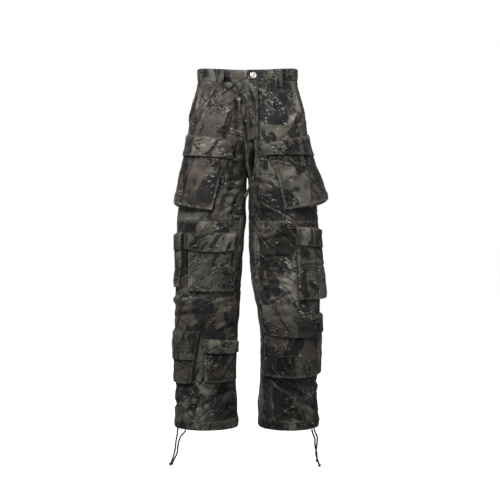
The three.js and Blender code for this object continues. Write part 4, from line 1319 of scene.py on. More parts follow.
    def build(self, stitching: Stitching) -> None:
        """Build the pocket and its flap with their double topstitching."""
        body, flap = self.body(), self.flap()
        body.build(self.finish)
        flap.build(self.finish)
        deep = self.sizes.foot_depth
        tier = Tier.HIPS if self.sizes.name.startswith("hip") else Tier.LOWER
        inner, under, outer = (max(depth, 6) for depth in deep)
        lines = [body.line_down(inner + 5, end=under + 4),
                 body.line_down(outer + 5, from_end=True, end=under + 4),
                 flap.line_down(1.8), flap.line_down(1.8, from_end=True),
                 flap.line_down(6.8, end=6.8), flap.line_down(6.8, from_end=True, end=6.8),
                 flap.line_across(1.8, from_end=True),
                 flap.line_across(6.8, from_end=True, start=6.8, end=6.8),
                 flap.line_across(1.6), flap.line_across(6.4)]
        rows, count = body.outer.shape[:2]
        under_row = np.full(count, rows - 1 - self.gusset_steps - 1.6)
        inside = slice(self.gusset_steps + 2, count - self.gusset_steps - 2)
        lines.append(body.spot(under_row, np.arange(count).astype(float))[inside])
        stitching.add(tier, lines)


class Tier(Enum):
    """Groups of stitch lines, one object each."""

    WAIST = "stitching_waist"
    LEGS = "stitching_legs"
    HIPS = "stitching_hips"
    LOWER = "stitching_lower_pockets"


class Stitching:
    """Topstitching, laid along lines on the cloth by a node tree."""

    pitch = 3.6
    length = 2.7
    thread = 0.62

    def __init__(self) -> None:
        """Start with no lines."""
        self.lines: dict[Tier, list[Grid]] = {tier: [] for tier in Tier}

    def add(self, tier: Tier, lines: Sequence[Grid]) -> None:
        """Take stitch lines.

        Args:
            tier: the group that they belong to.
            lines: points along each line, in millimetres.
        """
        self.lines[tier] += [line for line in lines if len(line) > 1]

    @staticmethod
    def tree(finish: Finish) -> bpy.types.NodeTree:
        """The node tree that sets stitches along edges."""
        tree = bpy.data.node_groups.new("stitch_line", "GeometryNodeTree")
        faces = tree.interface
        faces.new_socket("Geometry", in_out="INPUT", socket_type="NodeSocketGeometry")
        for name in ("Pitch", "Length", "Thread"):
            faces.new_socket(name, in_out="INPUT", socket_type="NodeSocketFloat")
        faces.new_socket("Geometry", in_out="OUTPUT", socket_type="NodeSocketGeometry")

        def node(kind: str, **settings: object) -> bpy.types.Node:
            made = tree.nodes.new(kind)
            for name, value in settings.items():
                setattr(made, name, value)
            return made

        given, result = node("NodeGroupInput"), node("NodeGroupOutput")
        curve = node("GeometryNodeMeshToCurve")
        spots = node("GeometryNodeCurveToPoints", mode="LENGTH")
        turn = node("FunctionNodeAlignRotationToVector", axis="X")
        seed = node("FunctionNodeRandomValue", data_type="FLOAT")
        ball = node("GeometryNodeMeshIcoSphere")
        size = node("ShaderNodeCombineXYZ")
        uneven = node("ShaderNodeMath", operation="MULTIPLY")
        place = node("GeometryNodeInstanceOnPoints")
        real = node("GeometryNodeRealizeInstances")
        dress = node("GeometryNodeSetMaterial")
        shade = node("GeometryNodeSetShadeSmooth")
        ball.inputs["Radius"].default_value = 0.5
        ball.inputs["Subdivisions"].default_value = 1
        seed.inputs[2].default_value, seed.inputs[3].default_value = 0.86, 1.1
        seed.inputs["Seed"].default_value = 7
        dress.inputs["Material"].default_value = finish
        for source, out, target, into in (
                (given, "Geometry", curve, "Mesh"), (curve, "Curve", spots, "Curve"),
                (given, "Pitch", spots, "Length"), (spots, "Points", place, "Points"),
                (spots, "Tangent", turn, "Vector"), (turn, "Rotation", place, "Rotation"),
                (given, "Length", uneven, 0), (seed, 1, uneven, 1),
                (uneven, 0, size, "X"), (given, "Thread", size, "Y"),
                (given, "Thread", size, "Z"), (ball, "Mesh", place, "Instance"),
                (size, "Vector", place, "Scale"), (place, "Instances", real, "Geometry"),
                (real, "Geometry", shade, "Geometry"), (shade, "Geometry", dress, "Geometry"),
                (dress, "Geometry", result, "Geometry")):
            tree.links.new(source.outputs[out], target.inputs[into])
        return tree

    def build(self, finish: Finish) -> None:
        """Make one object of stitches for each tier.

        Args:
            finish: the thread's material.
        """
        tree = self.tree(finish)
        sockets = {item.name: item.identifier for item in tree.interface.items_tree if item.in_out == "INPUT"}
        for tier, lines in self.lines.items():
            points = np.concatenate(lines) * MM
            starts = np.cumsum([0] + [len(line) for line in lines])
            edges = [(k, k + 1) for a, b in zip(starts[:-1], starts[1:]) for k in range(a, b - 1)]
            guide = bpy.data.meshes.new(f"{tier.value}_guide")
            guide.from_pydata(points.tolist(), edges, [])
            piece = bpy.data.objects.new(f"{tier.value}_guide", guide)
            bpy.context.collection.objects.link(piece)
            modifier = piece.modifiers.new("stitches", "NODES")
            modifier.node_group = tree
            for name, value in (("Pitch", self.pitch), ("Length", self.length), ("Thread", self.thread)):
                modifier[sockets[name]] = value * MM
            graph = bpy.context.evaluated_depsgraph_get()
            mesh = bpy.data.meshes.new_from_object(piece.evaluated_get(graph))
            bpy.data.objects.remove(piece)
            mesh.name = tier.value
            made = bpy.data.objects.new(tier.value, mesh)
            bpy.context.collection.objects.link(made)
            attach(made, "root")
            log.info("%s: %d faces", tier.value, len(mesh.polygons))


class Socket:
    """A shader socket that takes part in Python arithmetic."""

    def __init__(self, shader: Shader, socket: NodeSocket) -> None:
        """Keep the socket and the shader it is in."""
        self.shader = shader
        self.socket = socket

    def maths(self, operation: str, first: object, second: object) -> Socket:
        """The result of a Math node on two values."""
        node = self.shader.add("ShaderNodeMath", {"operation": operation}, {0: first, 1: second})
        return Socket(self.shader, node.outputs[0])

    def __add__(self, other: object) -> Socket:
        """Sum."""
        return self.maths("ADD", self, other)

    def __radd__(self, other: object) -> Socket:
        """Sum, reflected."""
        return self.maths("ADD", other, self)

    def __sub__(self, other: object) -> Socket:
        """Difference."""
        return self.maths("SUBTRACT", self, other)

    def __rsub__(self, other: object) -> Socket:
        """Difference, reflected."""
        return self.maths("SUBTRACT", other, self)

    def __mul__(self, other: object) -> Socket:
        """Product."""
        return self.maths("MULTIPLY", self, other)

    def __rmul__(self, other: object) -> Socket:
        """Product, reflected."""
        return self.maths("MULTIPLY", other, self)

    def __abs__(self) -> Socket:
        """Size without sign."""
        return self.maths("ABSOLUTE", self, 0.0)

    def __pow__(self, power: float) -> Socket:
        """Power."""
        return self.maths("POWER", self, power)


class Shader:
    """A material whose nodes are written as expressions."""

    def __init__(self, name: str) -> None:
        """Start a material with a Principled shader.

        Args:
            name: the material's name.
        """
        self.material = bpy.data.materials.new(name)
        self.material.use_nodes = True
        self.tree = self.material.node_tree
        self.surface = self.tree.nodes["Principled BSDF"]

    def add(self, kind: str, settings: dict[str, object], inputs: dict[object, object]) -> bpy.types.Node:
        """Add a node.

        Args:
            kind: the node's type.
            settings: its properties, set before its sockets.
            inputs: a value, Socket or node socket for each input, by name or number.

        Returns:
            The node.
        """
        node = self.tree.nodes.new(kind)
        for name, value in settings.items():
            setattr(node, name, value)
        for key, value in inputs.items():
            self.feed(node.inputs[key], value)
        return node

    def feed(self, target: NodeSocket, value: object) -> None:
        """Set or link one input."""
        if isinstance(value, Socket):
            self.tree.links.new(value.socket, target)
        elif isinstance(value, NodeSocket):
            self.tree.links.new(value, target)
        else:
            target.default_value = value

    def set(self, **inputs: object) -> None:
        """Set sockets of the surface, an underscore standing for a space."""
        for name, value in inputs.items():
            self.feed(self.surface.inputs[name.replace("_", " ")], value)

    def mix(self, factor: object, first: object, second: object) -> NodeSocket:
        """A colour between two colours."""
        node = self.add("ShaderNodeMix", {"data_type": "RGBA"}, {0: factor, 6: first, 7: second})
        return node.outputs[2]

    def scaled(self, colour: object, factor: object) -> NodeSocket:
        """A colour made darker or lighter by a factor."""
        node = self.add("ShaderNodeVectorMath", {"operation": "SCALE"}, {0: colour, 3: factor})
        return node.outputs[0]

    def attribute(self, name: str) -> Socket:
        """A number that the mesh carries."""
        node = self.add("ShaderNodeAttribute", {"attribute_name": name}, {})
        return Socket(self, node.outputs["Fac"])

    def placed(self, vector: object, shift: tuple[float, float, float], turn: float,
               scale: tuple[float, float, float]) -> NodeSocket:
        """Coordinates moved, turned by degrees and scaled."""
        inputs = {0: vector, 1: shift, 2: (0.0, 0.0, math.radians(turn)), 3: scale}
        return self.add("ShaderNodeMapping", {}, inputs).outputs[0]

    def noise(self, vector: object, scale: float, detail: float = 2.0, rough: float = 0.5,
              distortion: float = 0.0) -> Socket:
        """Noise from 0 to 1."""
        node = self.add("ShaderNodeTexNoise", {}, {"Vector": vector, "Scale": scale, "Detail": detail,
                                                   "Roughness": rough, "Distortion": distortion})
        return Socket(self, node.outputs["Fac"])

    def step(self, value: object, low: float, high: float) -> Socket:
        """A soft step from 0 at low to 1 at high."""
        node = self.add("ShaderNodeMapRange", {"interpolation_type": "SMOOTHSTEP"},
                        {"Value": value, "From Min": low, "From Max": high})
        return Socket(self, node.outputs[0])

    def bump(self, height: object, strength: float, distance: float) -> NodeSocket:
        """A normal from a height."""
        return self.add("ShaderNodeBump", {}, {"Height": height, "Strength": strength,
                                               "Distance": distance}).outputs[0]


Colour = tuple[float, float, float, float]


@dataclass(frozen=True)
class LimbSizes:
    """Printed branches that lie one way: degrees, metres apart, half width, how rare, how dark."""

    turn: float
    apart: float
    half: float
    rare: float
    seed: float
    dark: float


@dataclass(frozen=True)
class CamoTwill:
    """Cotton twill with a generic woodland print: soft patches, branches, leaves and bark."""

    brown: Colour = (0.1, 0.087, 0.075, 1)
    olive: Colour = (0.108, 0.107, 0.084, 1)
    pale: Colour = (0.2, 0.19, 0.16, 1)
    charcoal: Colour = (0.02, 0.021, 0.025, 1)
    dark: Colour = (0.008, 0.008, 0.0075, 1)
    leaf: Colour = (0.43, 0.41, 0.355, 1)
    rust: Colour = (0.098, 0.076, 0.066, 1)
    reverse: Colour = (0.1, 0.096, 0.084, 1)
    worn: Colour = (0.22, 0.21, 0.18, 1)
    limbs: tuple[LimbSizes, ...] = (
        LimbSizes(38, 0.12, 0.0045, 0.47, 2.3, 0.1),
        LimbSizes(63, 0.17, 0.0052, 0.5, 7.7, 0.85),
        LimbSizes(-30, 0.24, 0.0036, 0.51, 11.9, 0.3))

    def branch(self, s: Shader, uv: object, lie: LimbSizes) -> tuple[Socket, Socket, Socket, Socket]:
        """Branches that wander at uneven distances.

        Args:
            s: the material.
            uv: the print's coordinates in metres.
            lie: the branches' direction and sizes.

        Returns:
            The dark bark, the wood, its pale flecks and the cloth near a branch.
        """
        turned = s.placed(uv, (lie.seed, -lie.seed, 0), lie.turn, (1, 1, 1))
        split = s.add("ShaderNodeSeparateXYZ", {}, {0: turned})
        along, across = Socket(s, split.outputs[0]), Socket(s, split.outputs[1])
        sway = s.noise(s.placed(turned, (0, 0, 0), 0, (5, 9, 1)), 1.0, 2.0) - 0.5
        shake = s.noise(turned, 70.0, 3.0) - 0.5
        place = (across + sway * 0.1 + shake * 0.012) * (1 / lie.apart)
        lines = s.add("ShaderNodeTexVoronoi", {"voronoi_dimensions": "1D"}, {"W": place, "Randomness": 0.85})
        pick = Socket(s, s.add("ShaderNodeSeparateColor", {}, {0: lines.outputs["Color"]}).outputs[0])
        aside = (place - Socket(s, lines.outputs["W"])) * lie.apart
        reach = s.add("ShaderNodeTexNoise", {"noise_dimensions": "1D"},
                      {"W": along * 7.0 + pick * 60.0, "Scale": 1.0, "Detail": 1.0})
        there = s.step(Socket(s, reach.outputs[0]), lie.rare, lie.rare + 0.05)
        half = (0.45 + pick) * lie.half * (0.7 + shake * 1.2)
        bark = (1 - s.step(abs(abs(aside) - half), 0.0007, 0.0019)) * there
        wood = (1 - s.step(abs(aside) - half, -0.0006, 0.0004)) * there
        flecks = s.step(s.noise(uv, 190.0, 3.0, 0.6), 0.54, 0.62)
        near = (1 - s.step(abs(aside), 0.011, 0.03)) * there
        return bark * s.step(s.noise(uv, 95.0, 2.0), 0.34, 0.46), wood, wood * flecks, near

    def leaves(self, s: Shader, uv: object, turn: float, size: tuple[float, float, float],
               where: object, seed: float) -> tuple[Socket, Socket]:
        """Small leaves that lie one way.

        Args:
            s: the material.
            uv: the print's coordinates in metres.
            turn: the leaves' direction in degrees.
            size: leaf cells a metre across and along the leaves.
            where: how much of the cloth has them.
            seed: moves the pattern.

        Returns:
            The leaves, and a number from 0 to 1 that differs from leaf to leaf.
        """
        wander = s.add("ShaderNodeTexNoise", {}, {"Vector": uv, "Scale": 60.0, "Detail": 2.0})
        bent = s.add("ShaderNodeVectorMath", {"operation": "MULTIPLY_ADD"},
                     {0: wander.outputs["Color"], 1: (0.008, 0.008, 0.0), 2: uv}).outputs[0]
        cells = s.add("ShaderNodeTexVoronoi", {"feature": "F1"},
                      {"Vector": s.placed(bent, (seed, seed * 2, 0), turn, size), "Scale": 1.0,
                       "Randomness": 0.95})
        pick = s.add("ShaderNodeSeparateColor", {}, {0: cells.outputs["Color"]})
        shape = 1 - s.step(Socket(s, cells.outputs["Distance"]), 0.26, 0.4)
        kept = s.step(Socket(s, pick.outputs[1]) + where * 0.52, 0.88, 0.92)
        return shape * kept * s.step(where, 0.02, 0.3), Socket(s, pick.outputs[0])

    def colour(self, s: Shader) -> NodeSocket:
        """The printed colour."""
        uv = s.add("ShaderNodeUVMap", {"uv_map": "print"}, {}).outputs[0]
        drift = s.add("ShaderNodeTexNoise", {}, {"Vector": uv, "Scale": 14.0, "Detail": 3.0})
        warped = s.add("ShaderNodeVectorMath", {"operation": "MULTIPLY_ADD"},
                       {0: drift.outputs["Color"], 1: (0.035, 0.035, 0.0), 2: uv}).outputs[0]

        def patch(scale: float, seed: float, low: float, high: float, turn: float = 25) -> Socket:
            return s.step(s.noise(s.placed(warped, (seed, seed, seed), turn, (1, 0.62, 1)), scale, 2.5),
                          low, high)

        ground = s.mix(patch(9.0, 1.7, 0.44, 0.54), self.brown, self.olive)
        ground = s.mix(patch(8.0, 5.1, 0.56, 0.6) * 0.85, ground, self.pale)
        ground = s.mix(patch(8.5, 9.3, 0.513, 0.537, 50) * 0.94, ground, self.charcoal)
        ground = s.mix(patch(11.0, 14.2, 0.563, 0.585, -20) * 0.88, ground, self.dark)
        ground = s.mix(patch(12.0, 21.8, 0.6, 0.66) * 0.75, ground, self.rust)
        ground = s.scaled(ground, 0.25 + s.noise(uv, 48.0, 5.0, 0.66) * s.noise(warped, 13.0, 1.0) * 3.0)
        strip = s.step(s.noise(s.placed(warped, (30, 6, 2), 12, (17, 5, 1)), 1.0, 1.5), 0.6, 0.68)
        bark = s.noise(s.placed(uv, (3, 8, 1), 14, (330, 130, 1)), 1.0, 3.0, 0.62)
        ground = s.mix((1 - s.step(bark, 0.4, 0.46)) * strip * 0.85, ground, self.dark)
        ground = s.mix(s.step(bark, 0.56, 0.62) * strip * 0.85, ground, self.leaf)
        near = 0.0
        for lie in self.limbs:
            dark, wood, flecks, close = self.branch(s, uv, lie)
            ground = s.mix(wood * 0.5, ground, self.brown)
            ground = s.mix(flecks * 0.5, ground, self.leaf)
            ground = s.mix(wood * lie.dark, ground, self.dark)
            ground = s.mix(dark * 0.92, ground, self.dark)
            near = close + near
        tufts = s.step(s.noise(warped, 17.0, 2.0), 0.53, 0.62)
        where = near.maths("MINIMUM", near * tufts, 1.0)
        for turn, across, along, seed in ((35, 80, 230, 4.4), (-28, 105, 250, 8.1), (62, 60, 190, 15.2)):
            leaf, one = self.leaves(s, uv, turn, (across, along, 1), where, seed)
            light = s.mix(s.step(one, 0.5, 0.95), self.pale, self.leaf)
            tint = s.mix(s.step(one, 0.42, 0.52), self.dark, light)
            ground = s.mix(leaf * 0.92, ground, tint)
        return ground

    def make(self) -> Finish:
        """Build the material."""
        s = Shader("camo_twill")
        ground = self.colour(s)
        uv = s.add("ShaderNodeUVMap", {"uv_map": "print"}, {}).outputs[0]
        grain = s.noise(uv, 900.0, 2.0, 0.6)
        rub = s.attribute("worn") * s.step(s.noise(uv, 110.0, 3.0, 0.6), 0.36, 0.62)
        ground = s.mix(rub * 0.6, ground, self.worn)
        ground = s.mix(s.attribute("reverse") * 0.55, ground, self.reverse)
        # The shade attribute carries each piece's tone together with painted shade and painted shadow
        ground = s.scaled(ground, s.attribute("shade") * (0.84 + grain * 0.32))
        twill = s.add("ShaderNodeTexWave", {"wave_type": "BANDS", "bands_direction": "DIAGONAL"},
                      {"Vector": uv, "Scale": 260.0, "Distortion": 1.4, "Detail": 1.0, "Detail Scale": 3.0})
        crush = s.noise(uv, 110.0, 4.0, 0.62)
        height = Socket(s, twill.outputs["Fac"]) * 0.18 + grain * 0.3 + crush * 2.2
        s.set(Base_Color=ground, Roughness=0.78 + crush * 0.16, Normal=s.bump(height, 0.6, 0.001))
        s.set(Specular_IOR_Level=0.25, Sheen_Weight=0.08, Sheen_Roughness=0.5)
        return s.material


@dataclass(frozen=True)
class Thread:
    """Matt polyester sewing thread."""

    colour: Colour = (0.2, 0.194, 0.162, 1)
    shade: Colour = (0.07, 0.068, 0.058, 1)

    def make(self) -> Finish:
        """Build the material."""
        s = Shader("thread")
        place = s.add("ShaderNodeTexCoord", {}, {}).outputs["Object"]
        tint = s.noise(place, 420.0, 2.0)
        s.set(Base_Color=s.mix(s.step(tint, 0.35, 0.65), self.shade, self.colour),
              Roughness=0.55 + tint * 0.25, Normal=s.bump(s.noise(place, 3000.0, 1.0), 0.4, 0.0002))
        return s.material


@dataclass(frozen=True)
class Braid:
    """Braided cotton cord, with its strands drawn by the mesh's own coordinates."""

    name: str
    colour: Colour
    dark: Colour

    def make(self) -> Finish:
        """Build the material."""
        s = Shader(self.name)
        uv = s.add("ShaderNodeUVMap", {"uv_map": "strand"}, {}).outputs[0]
        split = s.add("ShaderNodeSeparateXYZ", {}, {0: uv})
        round_, along = Socket(s, split.outputs[0]), Socket(s, split.outputs[1])
        around, climb = round_ * 6.2832 * 4, along * 1500
        one, two = around + climb, around - climb
        weave = one.maths("SINE", one, 0.0) * two.maths("SINE", two, 0.0)
        place = s.add("ShaderNodeTexCoord", {}, {}).outputs["Object"]
        fuzz = s.noise(place, 900.0, 3.0, 0.6)
        mixed = s.mix(s.step(weave + fuzz * 0.9, 0.0, 0.9), self.dark, self.colour)
        mixed = s.scaled(mixed, 0.45 + s.step(s.noise(place, 55.0, 3.0, 0.6), 0.42, 0.6) * 0.95)
        s.set(Base_Color=mixed, Roughness=0.8 + fuzz * 0.15,
              Normal=s.bump(weave * 0.7 + fuzz * 0.5, 0.6, 0.0006))
        return s.material


@dataclass(frozen=True)
class ButtonMetal:
    """Polished metal with fine scratches."""

    colour: Colour = (0.93, 0.93, 0.92, 1)
    dull: Colour = (0.66, 0.66, 0.65, 1)

    def make(self) -> Finish:
        """Build the material."""
        s = Shader("button_metal")
        place = s.add("ShaderNodeTexCoord", {}, {}).outputs["Object"]
        cloud = s.noise(place, 260.0, 3.0)
        lines = s.noise(s.placed(place, (0, 0, 0), 25, (4000, 300, 300)), 1.0, 2.0)
        s.set(Base_Color=s.mix(s.step(cloud, 0.55, 0.75) * 0.4, self.colour, self.dull),
              Roughness=0.24 + cloud * 0.12, Normal=s.bump(lines, 0.08, 0.0001))
        s.set(Metallic=0.6)
        return s.material


def new_piece(name: str, points: Grid, faces: list[tuple[int, ...]], finish: Finish) -> Piece:
    """Make a smooth mesh piece that rides on the garment.

    Args:
        name: the piece's name.
        points: vertices in millimetres.
        faces: vertex numbers of each face.
        finish: its material.

    Returns:
        The object.
    """
    mesh = bpy.data.meshes.new(name)
    mesh.from_pydata((points * MM).tolist(), [], faces)
    mesh.shade_smooth()
    mesh.materials.append(finish)
    piece = bpy.data.objects.new(name, mesh)
    bpy.context.collection.objects.link(piece)
    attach(piece, "root")
    return piece


@dataclass
class Tube:
    """A closed round tube along a path, with the strands of a braid raised on it."""

    path: Grid
    radius: float
    sides: int = 14
    braid: float = 0.05
    is_loop: bool = False

    def frames(self) -> tuple[Grid, Grid]:
        """Two directions across the path at each point, carried along without twist."""
        ahead = unit(np.gradient(self.path, axis=0))
        if self.is_loop:
            ahead = unit(np.roll(self.path, -1, axis=0) - np.roll(self.path, 1, axis=0))
        one = np.zeros_like(self.path)
        start = np.cross(ahead[0], [0.0, 0.0, 1.0])
        if np.linalg.norm(start) < 0.1:
            start = np.cross(ahead[0], [0.0, 1.0, 0.0])
        one[0] = unit(start)
        for k in range(1, len(self.path)):
            one[k] = unit(one[k - 1] - ahead[k] * np.dot(one[k - 1], ahead[k]))
        return one, np.cross(ahead, one)

    def mesh(self, name: str, finish: Finish, slot: str) -> Piece:
        """Build the tube.

        Args:
            name: the piece's name.
            finish: its material.
            slot: not used.

        Returns:
            The object.
        """
        one, two = self.frames()
        count = len(self.path)
        reach = Cloth.travelled(self.path[None], 1)[0]
        turn = np.arange(self.sides) * 2 * np.pi / self.sides
        strand = np.sin(turn[None] * 4 + reach[:, None] * 1.5) * np.sin(turn[None] * 4 - reach[:, None] * 1.5)
        size = self.radius * (1 + self.braid * strand)
        ring = one[:, None] * np.cos(turn)[None, :, None] + two[:, None] * np.sin(turn)[None, :, None]
        points = (self.path[:, None] + ring * size[..., None]).reshape(-1, 3)
        last = count if self.is_loop else count - 1
        faces = [((k % count) * self.sides + a, ((k + 1) % count) * self.sides + a,
                  ((k + 1) % count) * self.sides + b, (k % count) * self.sides + b)
                 for k in range(last) for a, b in ((j, (j + 1) % self.sides) for j in range(self.sides))]
        if not self.is_loop:
            faces.append(tuple(range(self.sides)))
            faces.append(tuple(reversed([(count - 1) * self.sides + j for j in range(self.sides)])))
        faces = [tuple(reversed(face)) for face in faces]
        piece = new_piece(name, points, faces, finish)
        layer = piece.data.uv_layers.new(name="strand")
        numbers = np.zeros(len(piece.data.loops), int)
        piece.data.loops.foreach_get("vertex_index", numbers)
        uv = np.stack([numbers % self.sides / self.sides, reach[numbers // self.sides] * MM], -1)
        layer.data.foreach_set("uv", uv.ravel())
        return piece


def knot_path(centre: Grid, size: float) -> Grid:
    """A tight overhand knot as a closed path round a place on a cord."""
    t = np.linspace(0, 2 * np.pi, 72, endpoint=False)
    shape = np.stack([np.sin(t) + 2 * np.sin(2 * t), np.sin(3 * t) * 0.9, np.cos(t) - 2 * np.cos(2 * t)], -1)
    return centre + shape * size / 3


@dataclass(frozen=True)
class CordSizes:
    """A drawcord's free end, from its exit to its knot."""

    node: str
    diameter: float
    route: tuple[tuple[float, float, float], ...]
    knots: tuple[float, ...]


@dataclass
class Cords:
    """The drawcords of the waist and of both hems."""

    waist: Finish
    hem: Finish
    bead: Finish
    step: float = 1.6
    places: tuple[CordSizes, ...] = (
        CordSizes("waist_cord_right", 7.0, (
            (-47.5, -93.5, -27), (-47.5, -100, -27), (-46, -106, -29), (-41.5, -110, -34.5),
            (-35, -112.5, -45), (-28.5, -113.5, -60), (-26, -115, -78), (-24, -117, -97),
            (-20, -120, -130), (-16, -123, -165), (-13, -124, -185), (-6, -123, -207), (-3, -122, -235),
            (-1, -122, -262), (1, -121, -285), (6, -121, -308), (12, -121, -333), (21, -119, -368),
            (31, -118, -404)), (0.2,)),
        CordSizes("waist_cord_left", 7.0, (
            (28.5, -107.7, -38.7), (28.5, -108.6, -46), (28.5, -112, -62), (28.5, -118, -90),
            (28.5, -122, -125), (28.5, -123.5, -160), (28, -123.5, -195), (28, -121.5, -230),
            (25.5, -117, -262), (22, -113, -292), (18, -110.5, -313), (10, -110, -335), (2, -111, -355),
            (-7, -112, -375)), ()),
        CordSizes("hem_cord_right_outer", 5.0, (
            (-209.4, -40, -1063.8), (-209.6, -40, -1069), (-211, -39, -1082), (-215, -36, -1104),
            (-219, -36, -1135), (-225, -37, -1156), (-233, -38, -1176)), ()),
        CordSizes("hem_cord_right_inner", 5.0, (
            (-184.3, -67.6, -1063.8), (-185, -67.5, -1068), (-191, -66, -1075), (-200, -60, -1086),
            (-207, -54, -1110), (-211, -49, -1137), (-219, -46, -1155), (-228, -45, -1172)), ()),
        CordSizes("hem_cord_left_outer", 5.0, (
            (199.8, -49.6, -1063.8), (200.4, -49.5, -1069), (204.5, -49, -1078), (209, -47, -1091),
            (208, -46, -1113), (205, -47, -1139), (210, -48, -1158), (217, -49, -1177)), ()),
        CordSizes("hem_cord_left_inner", 5.0, (
            (192.3, -58.4, -1063.8), (192.9, -58.3, -1069), (196, -57.5, -1079), (201, -55, -1092),
            (202, -53, -1113), (207, -54, -1137), (208, -55, -1160)), ()),
    )

    @staticmethod
    def curve(route: Sequence[tuple[float, float, float]], step: float) -> Grid:
        """Points along the smooth curve through a route, a step apart.

        Args:
            route: the points that the cord passes.
            step: millimetres between the points that come back.

        Returns:
            Points in millimetres.
        """
        given = np.array(route, float)
        ends = 2 * given[0] - given[1], 2 * given[-1] - given[-2]
        points = np.concatenate([[ends[0]], given, [ends[1]]])
        found = []
        for k in range(1, len(points) - 2):
            p0, p1, p2, p3 = points[k - 1:k + 3]
            d0, d1, d2 = (float(np.linalg.norm(b - a)) ** 0.5 for a, b in ((p0, p1), (p1, p2), (p2, p3)))
            leave = ((p1 - p0) / d0 - (p2 - p0) / (d0 + d1) + (p2 - p1) / d1) * d1
            arrive = ((p2 - p1) / d1 - (p3 - p1) / (d1 + d2) + (p3 - p2) / d2) * d1
            t = np.linspace(0, 1, 24, endpoint=False)[:, None]
            found.append((2 * t**3 - 3 * t**2 + 1) * p1 + (t**3 - 2 * t**2 + t) * leave
                         + (3 * t**2 - 2 * t**3) * p2 + (t**3 - t**2) * arrive)
        dense = np.concatenate([*found, given[-1:]])
        reach = Cloth.travelled(dense[None], 1)[0]
        want = np.linspace(0, reach[-1], max(12, round(reach[-1] / step)))
        return np.stack([np.interp(want, reach, dense[:, axis]) for axis in range(3)], -1)

    def build(self) -> None:
        """Build every cord with its knots."""
        for sizes in self.places:
            path = self.curve(sizes.route, self.step)
            finish = self.waist if sizes.diameter > 5 else self.hem
            slot = "camo_twill" if sizes.diameter > 5 else "cord_braid"
            cord = Tube(path, sizes.diameter / 2).mesh(f"{sizes.node}_braid", finish, slot)
            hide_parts(sizes.node)
            for number, share in enumerate((*sizes.knots, 0.985)):
                centre = path[int(share * (len(path) - 1))]
                loop = knot_path(centre, sizes.diameter * 0.62)
                name = f"{sizes.node}_knot_{number}"
                look = self.bead if share in sizes.knots else finish
                Tube(loop, sizes.diameter * 0.36, 10, 0.04, True).mesh(name, look, slot)
            length = float(Cloth.travelled(path[None], 1)[0, -1]) * MM
            log.info("%s: %.3f m", sizes.node, length)


@dataclass
class Button:
    """The shank button and its buttonhole."""

    finish: Finish
    beta: float = 6.5
    z: float = -17.5
    radius: float = 9.6
    height: float = 4.0
    turns: int = 56

    def profile(self) -> list[tuple[float, float]]:
        """The button's outline from its back to the middle of its face."""
        r, h = self.radius, self.height
        back = [(0.0, 0.0), (r - 1.3, 0.0), (r - 0.5, 0.25), (r - 0.1, 0.8), (r, 1.5)]
        rim = [(r, h - 1.5), (r - 0.15, h - 0.9), (r - 0.55, h - 0.5), (r - 1.05, h - 0.4)]
        groove = [(r - 1.5, h - 0.6), (r - 1.75, h - 0.95), (r - 2.1, h - 0.95), (r - 2.6, h - 0.75)]
        dome = [(r * 0.55, h - 0.4), (r * 0.35, h - 0.18), (r * 0.16, h - 0.04), (0.0, h)]
        return back + rim + groove + dome

    def build(self, leg: Leg) -> None:
        """Turn the button and set it on the overlap.

        Args:
            leg: the left leg, whose oval the waistband follows.
        """
        up = leg.outward(np.array(self.beta), np.array(self.z))
        seat = leg.plain(np.array(self.beta), np.array(self.z)) + up * (2 * BAND + SEAM_GAP + 0.5)
        one = unit(np.cross(up, [0.0, 0.0, 1.0]))
        two = np.cross(up, one)
        rings = self.profile()
        points = [seat + up * rings[0][1]]
        for across, high in rings[1:-1]:
            for k in range(self.turns):
                angle = 2 * np.pi * k / self.turns
                points.append(seat + up * high + (one * math.cos(angle) + two * math.sin(angle)) * across)
        points.append(seat + up * rings[-1][1])
        count = len(rings) - 2
        faces: list[tuple[int, ...]] = []
        for k in range(self.turns):
            after = (k + 1) % self.turns
            faces.append((0, 1 + after, 1 + k))
            for ring in range(count - 1):
                a, b = 1 + ring * self.turns, 1 + (ring + 1) * self.turns
                faces.append((a + k, a + after, b + after, b + k))
            top = 1 + (count - 1) * self.turns
            faces.append((top + k, top + after, len(points) - 1))
        points_array = np.array(points)
        a, b, c = (points_array[[face[i] for face in faces]] for i in range(3))
        if np.sum(a * np.cross(b, c)) < 0:
            faces = [tuple(reversed(face)) for face in faces]
        piece = new_piece("waist_button_dome", points_array, faces, self.finish)
        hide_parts("waist_button")

    def hole(self, leg: Leg, stitching: Stitching) -> None:
        """Sew the buttonhole beside the button.

        Args:
            leg: the left leg.
            stitching: takes the stitch lines.
        """
        turn = np.linspace(0, 2 * np.pi, 90)
        for grow in (0.0, 0.7):
            x = 12.5 + (8.5 + grow) * np.cos(turn)
            beta = leg.beta_at(x + 9.0, self.z)
            z = self.z + (1.3 + grow) * np.sin(turn)
            away = 2 * BAND + SEAM_GAP + 0.9
            line = leg.plain(beta, z) + leg.outward(beta, z) * away
            stitching.add(Tier.WAIST, [line])


